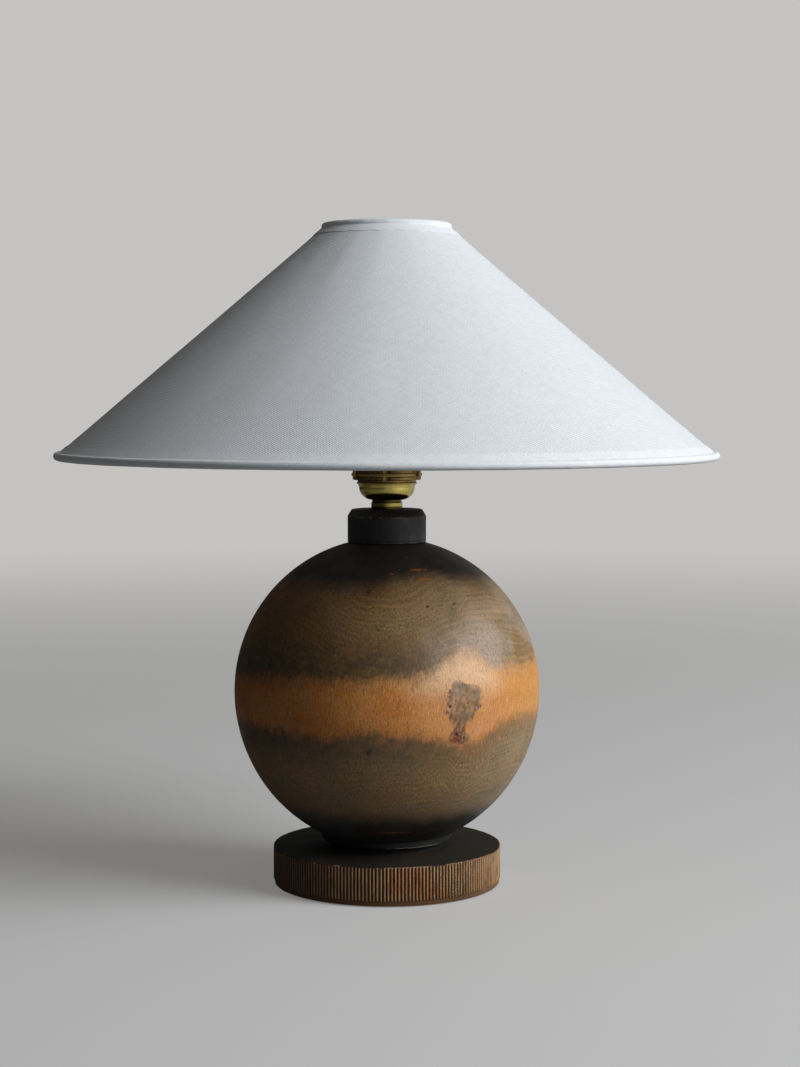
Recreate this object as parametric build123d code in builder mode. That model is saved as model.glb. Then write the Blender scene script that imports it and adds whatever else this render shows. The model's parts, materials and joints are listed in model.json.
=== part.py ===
from build123d import *
import os
from math import asin, atan2, cos, degrees, radians, sin, sqrt

os.makedirs("parts", exist_ok=True)

# Table lamp: a turned wooden ball on a reeded disc, a black collar, an unswitched
# brass bayonet lampholder, and a linen coolie shade on a dropped fitter ring.
# Millimetres and degrees. +Z is up, -Y is the front, and the origin is the centre
# of the felt's rest face. Radii are measured from the lamp's axis.

# Base disc, felt and cord inlet
base_r = 61.8
base_h = 20.5
reed_count = 204
reed_depth = 0.65
reed_width = 1.25
reed_foot_h = 2.6
felt_margin = 6.8
felt_t = 2.0
felt_proud = 0.5
recess_r = 24.0
recess_web_t = 5.4
inlet_z = 9.2
inlet_bore_r = 3.5
inlet_barrel_r = 4.7
inlet_barrel_l = 14.0
inlet_flange_r = 7.0
inlet_flange_t = 1.8
inlet_flange_proud = 0.6
inlet_flange_round = 0.6

# Ball and its turned foot: the lower half is a little deeper than a true half ball
ball_r = 82.6
ball_deeper = 2.9
foot_r = 35.4
foot_h = 7.3
foot_cove_r = 3.7
foot_round_r = 1.0

# Collar
collar_r = 21.25
collar_h = 18.2
collar_chamfer_h = 3.5
collar_chamfer_w = 2.2
collar_arris = 0.7

# Threaded tube, washer and nut that hold the column together
stem_r = 5.0
stem_wall = 1.2
stem_end_l = 1.2
stem_in_holder_l = 5.9
washer_r = 14.0
washer_t = 1.4
nut_flats = 14.0
nut_sides = 6
nut_t = 3.6

# Lampholder cap
neck_wall = 3.35
neck_band_h = 3.5
neck_band_proud = 0.45
neck_h = 5.1
bowl_upright_h = 1.45
bowl_flare = 0.6
cap_wall = 2.0
cap_bead_r = 0.65
cap_floor_t = 1.0
cap_thread_l = 4.9
cap_ledge_w = 1.2
grub_r = 1.5
grub_l = 3.0
grub_h = 1.8
grub_angle = 90
grub_slot_w = 0.5
grub_slot_depth = 1.0

# Lampholder barrel with its two bayonet slots
bulb_play = 0.4
spigot_wall = 2.1
barrel_thread_t = 0.7
barrel_h = 33.4
barrel_edge = 0.5
slot_turn_w = 5.4
bulb_press_travel = 2.0
bayonet_sides = (0, 180)
pin_above_rim = 22.6

# Contact block, terminals, plungers and springs
block_flange_t = 2.0
plunger_stand = 4.3
block_lead_in = 0.6
contact_offset = 4.2
plunger_r = 2.3
plunger_head_l = 9.8
plunger_head_edge = 0.5
plunger_shank_r = 1.2
plunger_shank_l = 9.4
sleeve_l = 6.25
terminal_screw_r = 0.9
terminal_screw_l = 2.6
terminal_screw_up = 1.5
terminal_sides = (90, 270)
spring_play = 0.28
spring_wire_r = 0.22

# Bulb with a bayonet cap
bulb_l = 104.0
bulb_r = 30.0
bulb_glass_t = 0.8
bulb_neck_play = 0.2
bulb_shoulder_angle = 35.0
bulb_cap_r = 11.0
bulb_cap_h = 24.0
bulb_cap_t = 0.5
bulb_cap_lip = 1.4
bulb_glass_in_cap = 9.0
bulb_pin_r = 1.0
bulb_pin_proud = 2.3
bulb_pin_h = 7.6
insulator_t = 3.2
insulator_edge = 0.7
contact_pad_r = 2.2
contact_pad_t = 0.6
pad_seat_depth = 0.3

# Shade rings and the fitter
shade_ring_w = 4.25
shade_ring_flange_t = 2.1
shade_ring_edge = 0.35
grip_count = 6
grip_r = 2.6
grip_bite = 1.2
grip_start_angle = -90
lower_hub_wall = 1.55
lower_hub_h = 1.0
upper_hub_wall = 1.95
upper_hub_h = 4.2
fitter_play = 0.4
fitter_proud = 0.6
fitter_ring_t = 1.3
fitter_arm_r = 1.0
fitter_arm_foot_out = 0.8
fitter_arm_foot_h = 4.6
fitter_arm_rise_h = 23.0
fitter_arm_bend_r = 7.0
fitter_arm_to_bulb = 1.9
fitter_arm_start_angle = 90
fitter_arm_names = ("rear", "front_left", "front_right")

# Shade: the middles of its two rolled edges, and what is wound round them
shade_bottom_r = 175.7
shade_drop_above_fitter = 9.95
shade_h = 121.8
linen_t = 0.5
lining_t = 0.5
edge_roll_wall = 0.8
edge_roll_sides = 12
edge_lap_t = 0.45
edge_lap_l = 7.5
edge_wire_r = 1.25
edge_wire_sides = 8

# Clearances: wood_gap and fit_gap lie between pieces of one body, run_gap is a
# running fit, face_gap separates faces that turn past each other
wood_gap = 0.3
fit_gap = 0.1
run_gap = 0.05
face_gap = 0.1
pin_gap = 0.3

# Radii, each from what the piece goes round or into
felt_r = base_r - felt_margin
spot_y = base_r + inlet_flange_proud - inlet_flange_t
ball_under_r = ball_r + ball_deeper
collar_top_r = collar_r - collar_chamfer_w
stem_hole_r = stem_r + wood_gap
stem_bore_r = stem_r - stem_wall
stem_fit_r = stem_r + fit_gap
barrel_bore_r = bulb_cap_r + bulb_play
spigot_r = barrel_bore_r + spigot_wall
barrel_r = spigot_r + barrel_thread_t
barrel_thread_fit_r = barrel_r + run_gap
cap_thread_r = spigot_r + fit_gap
cap_cavity_r = cap_thread_r - cap_ledge_w
cap_rim_r = cap_thread_r + cap_wall
neck_r = stem_fit_r + neck_wall
neck_waist_r = neck_r - neck_band_proud
bowl_r = cap_rim_r - bowl_flare - neck_waist_r
lead_r = plunger_shank_r + run_gap
block_hole_r = plunger_r + run_gap
spring_r = block_hole_r - spring_play - spring_wire_r
bulb_neck_r = bulb_cap_r - bulb_cap_t - bulb_neck_play
bulb_pin_tip_r = bulb_cap_r + bulb_pin_proud
shade_ring_r = barrel_thread_fit_r + shade_ring_w
lower_hub_r = barrel_thread_fit_r + lower_hub_wall
upper_hub_r = barrel_thread_fit_r + upper_hub_wall
fitter_ring_bore_r = barrel_r + fitter_play
fitter_ring_r = shade_ring_r + fitter_proud
fitter_arm_foot_r = fitter_ring_r + fitter_arm_foot_out
edge_roll_r = edge_wire_r + run_gap + edge_roll_wall
shade_top_r = bulb_r + fitter_arm_to_bulb + fitter_arm_r

# Heights up the lamp, each from the piece that it stands on
base_bottom_z = felt_proud
base_top_z = base_bottom_z + base_h
recess_top_z = base_top_z - recess_web_t
washer_z = recess_top_z - washer_t
nut_z = washer_z - nut_t
stem_bottom_z = nut_z - stem_end_l
foot_top_z = base_top_z + foot_h
ball_z = foot_top_z + ball_under_r * sqrt(1 - (foot_r / ball_r) ** 2)
collar_z = ball_z + sqrt(ball_r**2 - collar_r**2)
collar_top_z = collar_z + collar_h
holder_z = collar_top_z
stem_top_z = holder_z + stem_in_holder_l
bowl_z = holder_z + neck_h + bowl_r
bead_z = bowl_z + bowl_upright_h + cap_bead_r
rim_z = bead_z + cap_bead_r
ledge_z = rim_z - cap_thread_l
cavity_z = holder_z + neck_h + cap_floor_t
barrel_top_z = rim_z + barrel_h
pin_z = rim_z + pin_above_rim
bulb_z = pin_z - bulb_pin_h
block_top_z = bulb_z - plunger_stand
plunger_z = bulb_z - plunger_head_l
sleeve_z = cavity_z + fit_gap
sleeve_top_z = sleeve_z + sleeve_l
lower_ring_z = rim_z + face_gap
lower_ring_top_z = lower_ring_z + lower_hub_h + shade_ring_flange_t
fitter_z = lower_ring_top_z + face_gap
fitter_top_z = fitter_z + fitter_ring_t
upper_ring_z = fitter_top_z + face_gap
shade_bottom_z = fitter_top_z + shade_drop_above_fitter
shade_top_z = shade_bottom_z + shade_h

bore_axes = ((0, contact_offset), (0, -contact_offset))
contact_names = ("rear", "front")


def outward_plane(angle):
    """Plane on the axis facing outwards at angle: x along the tangent, y up."""
    turn = radians(angle)
    return Plane(origin=(0, 0, 0), x_dir=(-sin(turn), cos(turn), 0), z_dir=(cos(turn), sin(turn), 0))


def section_plane(angle):
    """Plane holding the axis and the direction at angle: x is the radius, y the height."""
    turn = radians(angle)
    return Plane(origin=(0, 0, 0), x_dir=(cos(turn), sin(turn), 0), z_dir=(sin(turn), -cos(turn), 0))


def save(piece, name):
    piece.part.label = name
    export_step(piece.part, f"parts/{name}.step")


# Base disc: reeded edge over a plain foot, recess for the nut, seat for the felt
with BuildPart() as base_disc:
    with BuildSketch(Plane.XY.offset(base_bottom_z)) as disc_foot:
        Circle(base_r - reed_depth)
    extrude(amount=reed_foot_h)
    with BuildSketch(Plane.XY.offset(base_bottom_z + reed_foot_h)) as reeded_outline:
        Circle(base_r)
        with PolarLocations(base_r, reed_count):
            Polygon(
                (-reed_depth, 0),
                (reed_depth, -reed_width),
                (reed_depth, reed_width),
                align=None,
                mode=Mode.SUBTRACT,
            )
    extrude(amount=base_h - reed_foot_h)
    with BuildSketch(Plane.XY.offset(base_bottom_z)) as felt_seat:
        Circle(felt_r + fit_gap)
    extrude(amount=felt_t - felt_proud, mode=Mode.SUBTRACT)
    with BuildSketch(Plane.XY.offset(base_bottom_z)) as nut_recess:
        Circle(recess_r)
    extrude(amount=recess_top_z - base_bottom_z, mode=Mode.SUBTRACT)
    with BuildSketch(Plane.XY.offset(base_bottom_z)) as stem_way:
        Circle(stem_hole_r)
    extrude(amount=base_h, mode=Mode.SUBTRACT)
    inlet_plane = Plane(origin=(0, spot_y, inlet_z), x_dir=(1, 0, 0), z_dir=(0, 1, 0))
    with BuildSketch(inlet_plane) as inlet_spot_face:
        Circle(inlet_flange_r + fit_gap)
    extrude(amount=base_r, mode=Mode.SUBTRACT)
    with BuildSketch(inlet_plane) as inlet_way:
        Circle(inlet_barrel_r + fit_gap)
    extrude(amount=-spot_y, mode=Mode.SUBTRACT)
save(base_disc, "base_disc")

with BuildPart() as base_felt:
    with BuildSketch() as felt_outline:
        Circle(felt_r)
    extrude(amount=felt_t)
save(base_felt, "base_felt")

with BuildPart() as cord_bush:
    with BuildSketch(inlet_plane) as bush_flange:
        Circle(inlet_flange_r)
    extrude(amount=inlet_flange_t)
    fillet(cord_bush.faces().sort_by(Axis.Y)[-1].edges(), inlet_flange_round)
    with BuildSketch(inlet_plane) as bush_barrel:
        Circle(inlet_barrel_r)
    extrude(amount=-inlet_barrel_l)
    with BuildSketch(inlet_plane.offset(inlet_flange_t)) as bush_bore:
        Circle(inlet_bore_r)
    extrude(amount=-(inlet_flange_t + inlet_barrel_l), mode=Mode.SUBTRACT)
save(cord_bush, "cord_bush")

# Ball with its foot: cove, rounded lip and short upright, then the ball's two halves
foot_lip_r = foot_r - foot_round_r
foot_neck_r = foot_lip_r - foot_cove_r
foot_angle = degrees(asin(foot_r / ball_r))
diagonal = sqrt(0.5)
with BuildPart() as ball_body:
    with BuildSketch(Plane.XZ) as ball_profile:
        with BuildLine() as ball_outline:
            Line((stem_hole_r, base_top_z), (foot_neck_r, base_top_z))
            ThreePointArc(
                (foot_neck_r, base_top_z),
                (foot_lip_r - foot_cove_r * diagonal, base_top_z + foot_cove_r * diagonal),
                (foot_lip_r, base_top_z + foot_cove_r),
            )
            ThreePointArc(
                (foot_lip_r, base_top_z + foot_cove_r),
                (
                    foot_lip_r + foot_round_r * diagonal,
                    base_top_z + foot_cove_r + foot_round_r * (1 - diagonal),
                ),
                (foot_r, base_top_z + foot_cove_r + foot_round_r),
            )
            Line((foot_r, base_top_z + foot_cove_r + foot_round_r), (foot_r, foot_top_z))
            EllipticalCenterArc(
                (0, ball_z),
                ball_under_r,
                ball_r,
                start_angle=foot_angle,
                arc_size=90 - foot_angle,
                rotation=-90,
            )
            ThreePointArc(
                (ball_r, ball_z),
                (ball_r * diagonal, ball_z + ball_r * diagonal),
                (collar_r, collar_z),
            )
            Line((collar_r, collar_z), (stem_hole_r, collar_z))
            Line((stem_hole_r, collar_z), (stem_hole_r, base_top_z))
        make_face()
    revolve(axis=Axis.Z)
save(ball_body, "ball_body")

with BuildPart() as neck_collar:
    with BuildSketch(Plane.XZ) as collar_profile:
        Polygon(
            (stem_hole_r, collar_z),
            (collar_r - collar_arris, collar_z),
            (collar_r, collar_z + collar_arris),
            (collar_r, collar_top_z - collar_chamfer_h),
            (collar_top_r, collar_top_z),
            (stem_hole_r, collar_top_z),
            align=None,
        )
    revolve(axis=Axis.Z)
save(neck_collar, "neck_collar")

with BuildPart() as stem_tube:
    with BuildSketch(Plane.XY.offset(stem_bottom_z)) as stem_section:
        Circle(stem_r)
        Circle(stem_bore_r, mode=Mode.SUBTRACT)
    extrude(amount=stem_top_z - stem_bottom_z)
save(stem_tube, "stem_tube")

with BuildPart() as stem_washer:
    with BuildSketch(Plane.XY.offset(washer_z)) as washer_section:
        Circle(washer_r)
        Circle(stem_fit_r, mode=Mode.SUBTRACT)
    extrude(amount=washer_t)
save(stem_washer, "stem_washer")

with BuildPart() as stem_nut:
    with BuildSketch(Plane.XY.offset(nut_z)) as nut_section:
        RegularPolygon(nut_flats / 2, nut_sides, major_radius=False)
        Circle(stem_fit_r, mode=Mode.SUBTRACT)
    extrude(amount=nut_t)
save(stem_nut, "stem_nut")

# Lampholder cap: banded neck, round bowl and beaded rim, hollow for the terminals
with BuildPart() as holder_cap:
    with BuildSketch(Plane.XZ) as cap_profile:
        with BuildLine() as cap_outline:
            Polyline(
                (stem_fit_r, holder_z),
                (neck_r, holder_z),
                (neck_r, holder_z + neck_band_h),
                (neck_waist_r, holder_z + neck_band_h + neck_r - neck_waist_r),
                (neck_waist_r, holder_z + neck_h),
            )
            ThreePointArc(
                (neck_waist_r, holder_z + neck_h),
                (neck_waist_r + bowl_r * diagonal, bowl_z - bowl_r * diagonal),
                (neck_waist_r + bowl_r, bowl_z),
            )
            Line((neck_waist_r + bowl_r, bowl_z), (cap_rim_r, bead_z - cap_bead_r))
            ThreePointArc(
                (cap_rim_r, bead_z - cap_bead_r),
                (cap_rim_r + cap_bead_r, bead_z),
                (cap_rim_r, rim_z),
            )
            Polyline(
                (cap_rim_r, rim_z),
                (cap_thread_r, rim_z),
                (cap_thread_r, ledge_z),
                (cap_cavity_r, ledge_z),
            )
            ThreePointArc(
                (cap_cavity_r, ledge_z),
                (
                    neck_waist_r + (cap_cavity_r - neck_waist_r) * diagonal,
                    ledge_z - (ledge_z - cavity_z) * diagonal,
                ),
                (neck_waist_r, cavity_z),
            )
            Polyline(
                (neck_waist_r, cavity_z),
                (stem_fit_r, cavity_z),
                (stem_fit_r, holder_z),
            )
        make_face()
    revolve(axis=Axis.Z)
    with BuildSketch(outward_plane(grub_angle)) as grub_way:
        with Locations((0, holder_z + grub_h)):
            Circle(grub_r + run_gap)
    extrude(amount=neck_r, mode=Mode.SUBTRACT)
save(holder_cap, "holder_cap")

with BuildPart() as cap_grub_screw:
    with BuildSketch(outward_plane(grub_angle).offset(stem_fit_r)) as grub_section:
        with Locations((0, holder_z + grub_h)):
            Circle(grub_r)
    extrude(amount=grub_l)
    with BuildSketch(outward_plane(grub_angle).offset(stem_fit_r + grub_l)) as grub_slot:
        with Locations((0, holder_z + grub_h)):
            Rectangle(grub_slot_w, 2 * grub_r)
    extrude(amount=-grub_slot_depth, mode=Mode.SUBTRACT)
save(cap_grub_screw, "cap_grub_screw")

# Lampholder barrel: spigot in the cap, threaded outside, a bayonet slot each side
spigot_z = ledge_z + block_flange_t
slot_low_z = pin_z - bulb_press_travel
slot_w = 2 * (bulb_pin_r + pin_gap)
with BuildPart() as holder_barrel:
    with BuildSketch(Plane.XZ) as barrel_profile:
        Polygon(
            (barrel_bore_r, spigot_z),
            (spigot_r, spigot_z),
            (spigot_r, rim_z),
            (barrel_r, rim_z),
            (barrel_r, barrel_top_z - barrel_edge),
            (barrel_r - barrel_edge, barrel_top_z),
            (barrel_bore_r + barrel_edge, barrel_top_z),
            (barrel_bore_r, barrel_top_z - barrel_edge),
            align=None,
        )
    revolve(axis=Axis.Z)
    for side in bayonet_sides:
        with BuildSketch(outward_plane(side)) as bayonet_slot:
            with Locations((slot_turn_w, (slot_low_z + barrel_top_z) / 2)):
                Rectangle(slot_w, barrel_top_z - slot_low_z + slot_w)
            with Locations((slot_turn_w / 2, slot_low_z)):
                SlotCenterToCenter(slot_turn_w, slot_w)
            with Locations((0, (slot_low_z + pin_z) / 2)):
                SlotCenterToCenter(bulb_press_travel, slot_w, rotation=90)
        extrude(amount=2 * barrel_r, mode=Mode.SUBTRACT)
save(holder_barrel, "holder_barrel")

# Contact block, with a stepped bore for each plunger
with BuildPart() as contact_block:
    with BuildSketch(Plane.XZ) as block_profile:
        Polygon(
            (0, ledge_z),
            (spigot_r - fit_gap, ledge_z),
            (spigot_r - fit_gap, spigot_z),
            (barrel_bore_r - fit_gap, spigot_z),
            (barrel_bore_r - fit_gap, block_top_z - block_lead_in),
            (barrel_bore_r - fit_gap - block_lead_in, block_top_z),
            (0, block_top_z),
            align=None,
        )
    revolve(axis=Axis.Z)
    with BuildSketch(Plane.XY.offset(ledge_z)) as plunger_ways:
        with Locations(*bore_axes):
            Circle(block_hole_r)
    extrude(amount=block_top_z - ledge_z, mode=Mode.SUBTRACT)
save(contact_block, "contact_block")

# Terminal sleeves: the springs stand on them and the plungers' shanks run in them
with BuildPart() as terminal_sleeves:
    with BuildSketch(Plane.XY.offset(sleeve_z)) as sleeve_sections:
        with Locations(*bore_axes):
            Circle(plunger_r)
            Circle(lead_r, mode=Mode.SUBTRACT)
    extrude(amount=sleeve_l)
    for side in terminal_sides:
        with BuildSketch(outward_plane(side).offset(contact_offset)) as screw_way:
            with Locations((0, sleeve_z + terminal_screw_up)):
                Circle(terminal_screw_r + run_gap)
        extrude(amount=2 * plunger_r, mode=Mode.SUBTRACT)
save(terminal_sleeves, "terminal_sleeves")

with BuildPart() as terminal_screws:
    for side in terminal_sides:
        with BuildSketch(outward_plane(side).offset(contact_offset + lead_r)) as screw_section:
            with Locations((0, sleeve_z + terminal_screw_up)):
                Circle(terminal_screw_r)
        extrude(amount=terminal_screw_l)
save(terminal_screws, "terminal_screws")

# Plungers and their springs, one pair for each contact of the bulb
for contact_name, contact_axis in zip(contact_names, bore_axes):
    with BuildPart() as plunger:
        with BuildSketch(Plane.XY.offset(plunger_z)) as head_section:
            with Locations(contact_axis):
                Circle(plunger_r)
        extrude(amount=plunger_head_l)
        chamfer(plunger.faces().sort_by(Axis.Z)[-1].edges(), plunger_head_edge)
        with BuildSketch(Plane.XY.offset(plunger_z)) as shank_section:
            with Locations(contact_axis):
                Circle(plunger_shank_r)
        extrude(amount=-plunger_shank_l)
    save(plunger, f"plunger_{contact_name}")

    with BuildPart() as plunger_spring:
        with BuildSketch(Plane.XY.offset(sleeve_top_z)) as spring_section:
            with Locations(contact_axis):
                Circle(spring_r + spring_wire_r)
                Circle(spring_r - spring_wire_r, mode=Mode.SUBTRACT)
        extrude(amount=plunger_z - sleeve_top_z)
    save(plunger_spring, f"plunger_spring_{contact_name}")

# Bulb: a pear of glass in a bayonet cap, with its insulator, pads and pins
insulator_z = bulb_z + contact_pad_t - pad_seat_depth
bulb_cap_z = insulator_z + bulb_cap_lip
bulb_cap_top_z = bulb_cap_z + bulb_cap_h
bulb_glass_z = bulb_cap_top_z - bulb_glass_in_cap
globe_z = bulb_z + bulb_l - bulb_r


def bulb_profile(inset):
    """Half section of the glass, inset by a wall."""
    globe_r = bulb_r - inset
    shoulder = radians(bulb_shoulder_angle)
    shoulder_point = (globe_r * cos(shoulder), globe_z - globe_r * sin(shoulder))
    neck_point = (bulb_neck_r - inset, bulb_cap_top_z)
    with BuildSketch(Plane.XZ) as half_section:
        with BuildLine():
            ThreePointArc((0, globe_z + globe_r), (globe_r, globe_z), shoulder_point)
            TangentArc(shoulder_point, neck_point, tangent=(-sin(shoulder), -cos(shoulder)))
            Polyline(
                neck_point,
                (bulb_neck_r - inset, bulb_glass_z + inset),
                (0, bulb_glass_z + inset),
                (0, globe_z + globe_r),
            )
        make_face()
    return half_section.sketch


glass_outside = bulb_profile(0)
glass_inside = bulb_profile(bulb_glass_t)
with BuildPart() as bulb_glass:
    revolve(glass_outside, axis=Axis.Z)
    revolve(glass_inside, axis=Axis.Z, mode=Mode.SUBTRACT)
save(bulb_glass, "bulb_glass")

with BuildPart() as bulb_cap:
    with BuildSketch(Plane.XY.offset(bulb_cap_z)) as bulb_cap_section:
        Circle(bulb_cap_r)
        Circle(bulb_cap_r - bulb_cap_t, mode=Mode.SUBTRACT)
    extrude(amount=bulb_cap_h)
    for side in bayonet_sides:
        with BuildSketch(outward_plane(side)) as pin_ways:
            with Locations((0, pin_z)):
                Circle(bulb_pin_r + run_gap)
        extrude(amount=2 * bulb_cap_r, mode=Mode.SUBTRACT)
save(bulb_cap, "bulb_cap")

with BuildPart() as bulb_insulator:
    with BuildSketch(Plane.XY.offset(insulator_z)) as insulator_section:
        Circle(bulb_cap_r - bulb_cap_t - run_gap)
    extrude(amount=insulator_t)
    chamfer(bulb_insulator.faces().sort_by(Axis.Z)[0].edges(), insulator_edge)
    with BuildSketch(Plane.XY.offset(insulator_z)) as pad_seats:
        with Locations(*bore_axes):
            Circle(contact_pad_r + run_gap)
    extrude(amount=pad_seat_depth, mode=Mode.SUBTRACT)
save(bulb_insulator, "bulb_insulator")

with BuildPart() as bulb_contacts:
    with BuildSketch(Plane.XY.offset(bulb_z)) as pad_sections:
        with Locations(*bore_axes):
            Circle(contact_pad_r)
    extrude(amount=contact_pad_t)
save(bulb_contacts, "bulb_contacts")

pin_root_r = bulb_cap_r - bulb_cap_t - bulb_pin_r
with BuildPart() as bulb_pins:
    for side in bayonet_sides:
        with BuildSketch(outward_plane(side).offset(pin_root_r)) as pin_section:
            with Locations((0, pin_z)):
                Circle(bulb_pin_r)
        extrude(amount=bulb_pin_tip_r - pin_root_r)
save(bulb_pins, "bulb_pins")


def shade_ring(flange_z, hub_z, hub_r, hub_h):
    """Threaded clamping ring: a flange with grip notches and a plain hub."""
    with BuildPart() as ring:
        with BuildSketch(Plane.XY.offset(flange_z)) as flange_section:
            Circle(shade_ring_r)
        extrude(amount=shade_ring_flange_t)
        chamfer(ring.edges(), shade_ring_edge)
        with BuildSketch(Plane.XY.offset(flange_z)) as grip_notches:
            with PolarLocations(shade_ring_r + grip_r - grip_bite, grip_count, start_angle=grip_start_angle):
                Circle(grip_r)
        extrude(amount=shade_ring_flange_t, mode=Mode.SUBTRACT)
        with BuildSketch(Plane.XY.offset(hub_z)) as hub_section:
            Circle(hub_r)
        extrude(amount=hub_h)
        with BuildSketch(Plane.XY.offset(min(flange_z, hub_z))) as thread_bore:
            Circle(barrel_thread_fit_r)
        extrude(amount=shade_ring_flange_t + hub_h, mode=Mode.SUBTRACT)
    return ring


lower_shade_ring = shade_ring(lower_ring_z + lower_hub_h, lower_ring_z, lower_hub_r, lower_hub_h)
save(lower_shade_ring, "lower_shade_ring")
upper_shade_ring = shade_ring(
    upper_ring_z, upper_ring_z + shade_ring_flange_t, upper_hub_r, upper_hub_h
)
save(upper_shade_ring, "upper_shade_ring")

# Fitter: a flat ring clamped between the shade rings, with a seat for each arm
arm_angles = [
    fitter_arm_start_angle + 360 / len(fitter_arm_names) * number
    for number in range(len(fitter_arm_names))
]
with BuildPart() as fitter_ring:
    with BuildSketch(Plane.XY.offset(fitter_z)) as fitter_section:
        Circle(fitter_ring_r)
        Circle(fitter_ring_bore_r, mode=Mode.SUBTRACT)
        with PolarLocations(fitter_arm_foot_r, len(fitter_arm_names), start_angle=fitter_arm_start_angle):
            Circle(fitter_arm_r + run_gap, mode=Mode.SUBTRACT)
    extrude(amount=fitter_ring_t)
save(fitter_ring, "fitter_ring")

wire_seat_z = shade_top_z - edge_wire_r
for arm_name, arm_angle in zip(fitter_arm_names, arm_angles):
    with BuildPart() as fitter_arm:
        with BuildLine(section_plane(arm_angle)) as arm_path:
            FilletPolyline(
                (fitter_arm_foot_r, fitter_z),
                (fitter_arm_foot_r, fitter_z + fitter_arm_foot_h),
                (shade_top_r, fitter_z + fitter_arm_foot_h + fitter_arm_rise_h),
                (shade_top_r, wire_seat_z),
                radius=fitter_arm_bend_r,
            )
        with BuildSketch(Plane(arm_path.line @ 0, z_dir=arm_path.line % 0)) as arm_section:
            Circle(fitter_arm_r)
        sweep()
    save(fitter_arm, f"fitter_arm_{arm_name}")

# Shade: linen on a stiff lining, with both edges rolled over a wire ring. In the
# section, run goes up the slope from the bottom wire and out is square to it.
slope_angle = atan2(shade_h, shade_top_r - shade_bottom_r)
slope_l = sqrt(shade_h**2 + (shade_bottom_r - shade_top_r) ** 2)


def slope_point(run, out):
    """Radius and height of a point on the shade's section."""
    return (
        shade_bottom_r + run * cos(slope_angle) + out * sin(slope_angle),
        shade_bottom_z + run * sin(slope_angle) - out * cos(slope_angle),
    )


def slope_strip(run_start, run_end, out_start, out_end, mode=Mode.ADD):
    """Rectangle lying along the slope, in the open sketch."""
    Polygon(
        slope_point(run_start, out_start),
        slope_point(run_end, out_start),
        slope_point(run_end, out_end),
        slope_point(run_start, out_end),
        align=None,
        mode=mode,
    )


def skin(out_start, out_end):
    """One layer of the shade, between the two rolled edges."""
    with BuildPart() as layer:
        with BuildSketch(Plane.XZ):
            slope_strip(edge_roll_r, slope_l - edge_roll_r, out_start, out_end)
        revolve(axis=Axis.Z)
    return layer


def rolled_edge(run_wire, direction):
    """Binding rolled round a wire ring, with a lap along each face of the shade."""
    run_lap = run_wire + direction * edge_lap_l
    run_skin = run_wire + direction * edge_roll_r
    with BuildPart() as edge:
        with BuildSketch(Plane.XZ):
            with Locations(slope_point(run_wire, 0)):
                RegularPolygon(edge_roll_r, edge_roll_sides)
            slope_strip(run_wire, run_lap, -lining_t - edge_lap_t, linen_t + edge_lap_t)
            slope_strip(run_skin, run_lap, -lining_t, linen_t, mode=Mode.SUBTRACT)
            with Locations(slope_point(run_wire, 0)):
                RegularPolygon(edge_wire_r + run_gap, edge_wire_sides, mode=Mode.SUBTRACT)
        revolve(axis=Axis.Z)
    return edge


shade_cover = skin(0, linen_t)
save(shade_cover, "shade_cover")
shade_lining = skin(-lining_t, 0)
save(shade_lining, "shade_lining")

for ring_name, wire_r_from_axis, wire_z in (
    ("top", shade_top_r, shade_top_z),
    ("bottom", shade_bottom_r, shade_bottom_z),
):
    with BuildPart() as edge_wire:
        with BuildSketch(Plane.XZ) as wire_section:
            with Locations((wire_r_from_axis, wire_z)):
                RegularPolygon(edge_wire_r, edge_wire_sides)
        revolve(axis=Axis.Z)
    save(edge_wire, f"shade_{ring_name}_wire")

shade_bottom_trim = rolled_edge(0, 1)
save(shade_bottom_trim, "shade_bottom_trim")

# The top binding is pierced where each arm reaches the wire
shade_top_trim = rolled_edge(slope_l, -1)
with BuildPart() as pierced_top_trim:
    add(shade_top_trim.part)
    with BuildSketch(Plane.XY.offset(shade_top_z)) as arm_ways:
        with PolarLocations(shade_top_r, len(fitter_arm_names), start_angle=fitter_arm_start_angle):
            Circle(fitter_arm_r + fit_gap)
    extrude(amount=-edge_lap_l, mode=Mode.SUBTRACT)
save(pierced_top_trim, "shade_top_trim")
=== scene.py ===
import json
from math import atan2, cos, hypot, pi, radians, sin, sqrt, tau

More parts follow.
